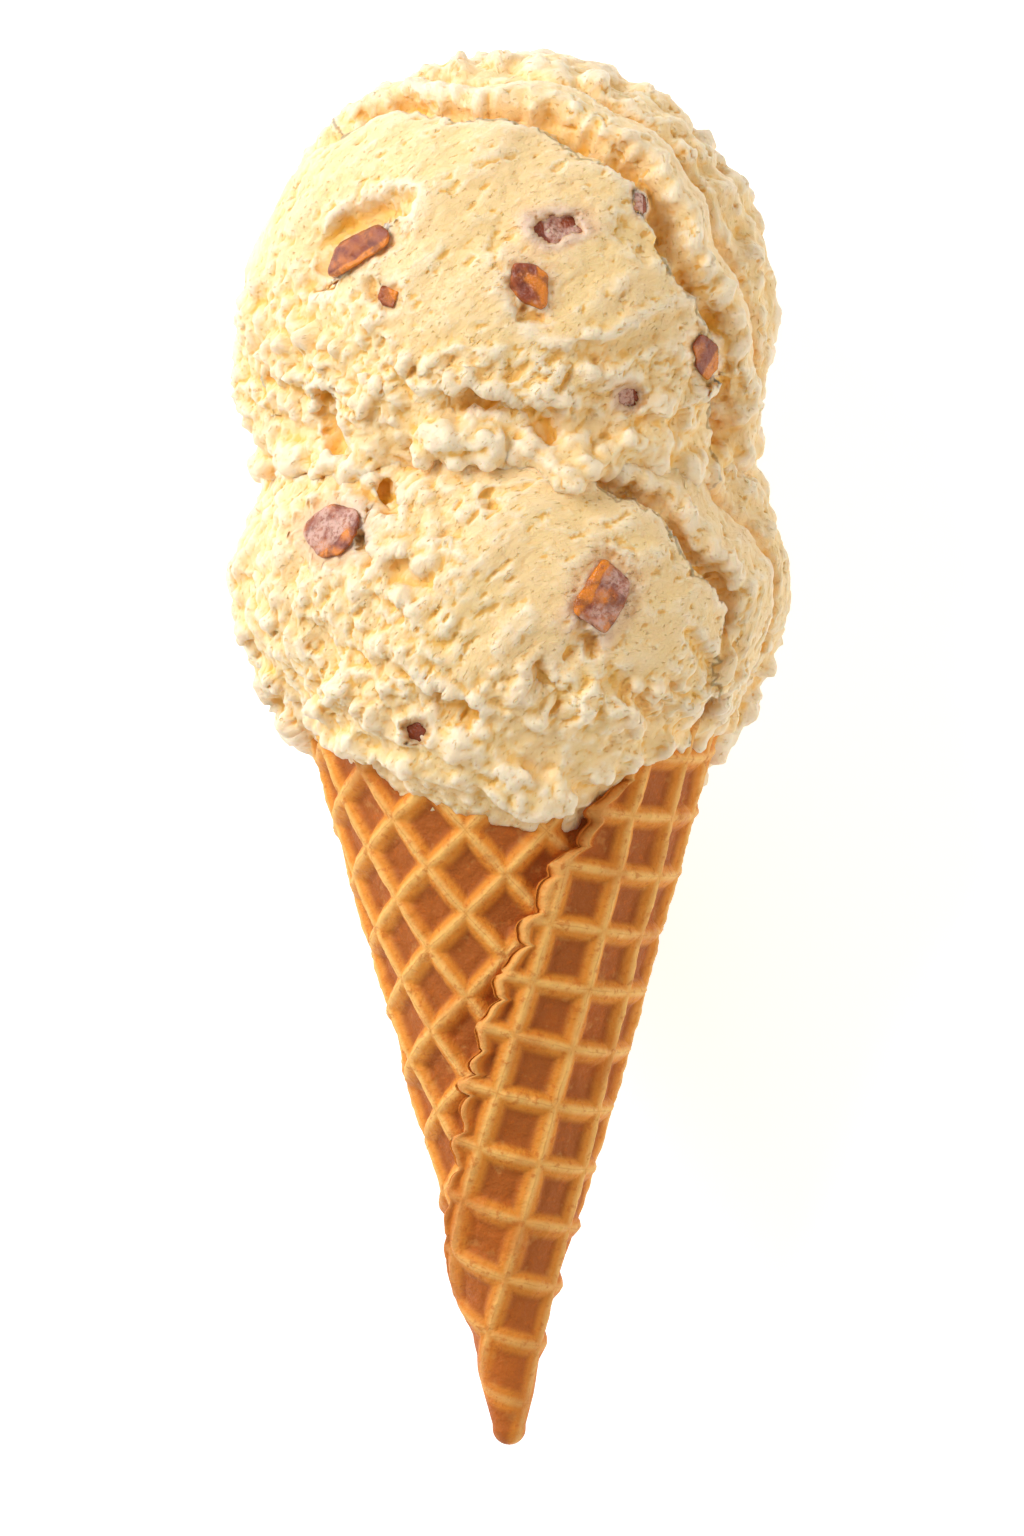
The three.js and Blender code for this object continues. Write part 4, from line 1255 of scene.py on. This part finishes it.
def wafer_material(settings):
    nodes = Nodes("wafer")
    shader = nodes.shader
    where = nodes.object_place()
    height = nodes.attribute("height")
    toast = nodes.attribute("toast")
    hollow = nodes.attribute("hollow")
    lines = nodes.add("ShaderNodeSeparateXYZ")
    nodes.join(nodes.attribute("lines", "Vector"), lines.inputs[0])
    broken = nodes.noise(where, 260.0, 3.0)
    wander = nodes.total(
        (nodes.noise(where, 420.0, 2.0), 0.05), (nodes.noise(where, 90.0, 1.0), 0.05),
    )
    creases = []
    for axis in ("X", "Y"):
        shifted = nodes.maths("SUBTRACT", nodes.maths("ADD", lines.outputs[axis], wander), 0.05)
        from_line = nodes.maths("PINGPONG", shifted, 0.5)
        creases.append(nodes.spread(from_line, 0.018, 0.004))
    crease = nodes.maths("MAXIMUM", creases[0], creases[1])
    crease = nodes.maths("MULTIPLY", crease, nodes.spread(broken, 0.40, 0.56, 0.15, 1.0))
    crease = nodes.maths("MULTIPLY", crease, lines.outputs["Z"])
    crease = nodes.maths("MULTIPLY", crease, nodes.spread(height, 0.7, 0.9))

    patches = nodes.noise(where, 95.0, 4.0, 0.6)
    specks = nodes.noise(where, 800.0, 3.0, 0.6)
    blisters = nodes.noise(where, 420.0, 3.0, 0.55)
    grain = nodes.noise(where, 2600.0, 3.0, 0.6)

    colour = nodes.tint(settings.pocket_colour, (
        (height, 0.02, 0.62, 1.0, settings.ridge_colour),
        (height, 0.66, 1.0, 0.9, settings.crest_colour),
        (patches, 0.50, 0.70, 0.5, settings.toast_colour),
        (specks, 0.54, 0.68, 0.55, settings.toast_colour),
        (blisters, 0.42, 0.30, 0.15, settings.crest_colour),
        (toast, 0.15, 1.0, 0.85, settings.toast_colour),
        # Painted shade, darker where the wafer lies below its neighbours
        (hollow, 0.25, 0.9, 0.5, WAFER_PAINTED_SHADE),
    ))
    colour = nodes.blend(nodes.maths("MULTIPLY", crease, 0.35), colour, CREASE_COLOUR)
    nodes.join(colour, shader.inputs["Base Color"])
    nodes.join(nodes.spread(grain, 0.3, 0.7, 0.48, 0.7), shader.inputs["Roughness"])
    shader.inputs["Specular IOR Level"].default_value = 0.22
    nodes.soften(0.12, (1.0, 0.4, 0.15), 0.001)
    nodes.bump(nodes.total((grain, 0.30), (specks, 0.45), (blisters, 0.8)), 0.00045)
    return nodes.material


def praline_material(settings):
    nodes = Nodes("praline")
    shader = nodes.shader
    where = nodes.object_place()
    veins = nodes.noise(where, 450.0, 4.0, 0.6)
    frost = nodes.attribute("frost")
    amber = nodes.attribute("amber")
    ice = nodes.noise(where, 1500.0, 4.0, 0.65)
    clear = nodes.total((amber, 0.8), (veins, 0.5))
    colour = nodes.tint(settings.toffee_colour, (
        (clear, 0.3, 0.85, 1.0, settings.amber_colour),
        (veins, 0.52, 0.36, 0.6, VEIN_COLOUR),
    ))
    icy = nodes.spread(ice, 0.36, 0.56, 0.25, 1.0)
    white = nodes.maths("MULTIPLY", nodes.spread(frost, 0.30, 0.62), icy)
    colour = nodes.blend(white, colour, settings.frost_colour)
    nodes.join(colour, shader.inputs["Base Color"])
    nodes.join(nodes.spread(frost, 0.25, 0.6, 0.14, 0.55), shader.inputs["Roughness"])
    shader.inputs["Specular IOR Level"].default_value = 0.6
    nodes.soften(0.25, (1.0, 0.35, 0.1), 0.0015)
    nodes.bump(nodes.total((ice, 0.5), (veins, 1.4)), 0.0006)
    return nodes.material


def table_material():
    nodes = Nodes("table")
    shader = nodes.shader
    shade = nodes.noise(nodes.object_place(), 6.0, 2.0)
    colour = nodes.blend(nodes.spread(shade, 0.3, 0.7), *TABLE_COLOURS)
    nodes.join(colour, shader.inputs["Base Color"])
    nodes.join(colour, shader.inputs["Emission Color"])
    shader.inputs["Emission Strength"].default_value = 0.55
    shader.inputs["Roughness"].default_value = 0.8
    shader.inputs["Specular IOR Level"].default_value = 0.2
    return nodes.material


# Operators

class CREAM_OT_wafer(Operator):
    """Rolled wafer cone"""

    bl_idname = "ice_cream.wafer"
    bl_label = "Wafer cone"

    def execute(self, context):
        make_wafer(context.scene.wafer_settings)
        return {"FINISHED"}


class CREAM_OT_scoops(Operator):
    """Both scoops of cream"""

    bl_idname = "ice_cream.scoops"
    bl_label = "Scoops"

    def execute(self, context):
        for scoop in (LOWER, UPPER):
            make_scoop(scoop, context.scene.cream_settings)
        return {"FINISHED"}


class CREAM_OT_pralines(Operator):
    """Toffee pieces in the cream"""

    bl_idname = "ice_cream.pralines"
    bl_label = "Pralines"

    def execute(self, context):
        for number in range(len(PRALINES)):
            make_praline(number, context.scene.praline_settings)
        return {"FINISHED"}


class CREAM_OT_stage(Operator):
    """Table, lights and camera"""

    bl_idname = "ice_cream.stage"
    bl_label = "Stage"

    def execute(self, context):
        make_stage(context.scene.stage_settings)
        return {"FINISHED"}


class CREAM_PT_panel(Panel):
    """Lists the pieces"""

    bl_idname = "CREAM_PT_panel"
    bl_label = "Ice cream"
    bl_space_type = "VIEW_3D"
    bl_region_type = "UI"
    bl_category = "Ice cream"

    def draw(self, context):
        for operator in OPERATORS:
            self.layout.operator(operator.bl_idname)
        for group in SETTINGS:
            settings = getattr(context.scene, group)
            for name in settings.__annotations__:
                self.layout.prop(settings, name)


# Stage

def add_area_light(name, place, target, size, power, colour):
    data = bpy.data.lights.new(name, "AREA")
    data.shape = "DISK"
    data.size = size
    data.energy = power
    data.color = colour
    light = bpy.data.objects.new(name, data)
    light.location = place
    light.rotation_euler = (target - Vector(place)).to_track_quat("-Z", "Y").to_euler()
    bpy.context.collection.objects.link(light)


# Height of the photograph's frame at the cone's axis and how far its middle lies below the part's
FRAME_HEIGHT = 0.2212
FRAME_SHIFT = 0.0021
TABLE_HALF = 3.0
KEY_PLACE = (-0.74, 0.52, 0.68)
FILL_PLACE = (0.75, -0.25, 0.55)


def make_stage(settings):
    scene = bpy.context.scene
    low, high = (Vector(corner) for corner in CAD_BOX)
    middle = (low + high) / 2.0
    camera_data = bpy.data.cameras.new("camera")
    camera_data.lens = settings.lens
    camera_data.clip_end = 20.0
    camera = bpy.data.objects.new("camera", camera_data)
    distance = FRAME_HEIGHT * settings.lens / camera_data.sensor_width
    camera.location = (0.0, middle.y - FRAME_SHIFT, AXIS_HEIGHT * METRE + distance)
    scene.collection.objects.link(camera)
    scene.camera = camera

    mesh = bmesh.new()
    bmesh.ops.create_grid(mesh, x_segments=2, y_segments=2, size=TABLE_HALF)
    data = to_data(mesh, "table")
    table = bpy.data.objects.new("table", data)
    data.materials.append(table_material())
    scene.collection.objects.link(table)

    add_area_light("key", KEY_PLACE, middle, 0.75, settings.key_power, (1.0, 0.98, 0.955))
    add_area_light("fill", FILL_PLACE, middle, 0.8, settings.fill_power, (1.0, 0.9, 0.76))
    world = bpy.data.worlds.new("sky")
    world.use_nodes = True
    background = world.node_tree.nodes["Background"]
    background.inputs["Color"].default_value = (1.0, 0.975, 0.94, 1.0)
    background.inputs["Strength"].default_value = settings.sky
    scene.world = world
    scene.view_settings.view_transform = "Standard"


OPERATORS = (CREAM_OT_wafer, CREAM_OT_scoops, CREAM_OT_pralines, CREAM_OT_stage)
SETTINGS = {
    "wafer_settings": WaferSettings,
    "cream_settings": CreamSettings,
    "praline_settings": PralineSettings,
    "stage_settings": StageSettings,
}


def register():
    for entry in (*SETTINGS.values(), *OPERATORS, CREAM_PT_panel):
        bpy.utils.register_class(entry)
    for name, group in SETTINGS.items():
        setattr(bpy.types.Scene, name, PointerProperty(type=group))


def unregister():
    for name in SETTINGS:
        delattr(bpy.types.Scene, name)
    for entry in reversed((*SETTINGS.values(), *OPERATORS, CREAM_PT_panel)):
        bpy.utils.unregister_class(entry)


def main():
    register()
    bpy.ops.ice_cream.stage()
    bpy.ops.ice_cream.wafer()
    bpy.ops.ice_cream.scoops()
    bpy.ops.ice_cream.pralines()


if __name__ == "__main__":
    main()
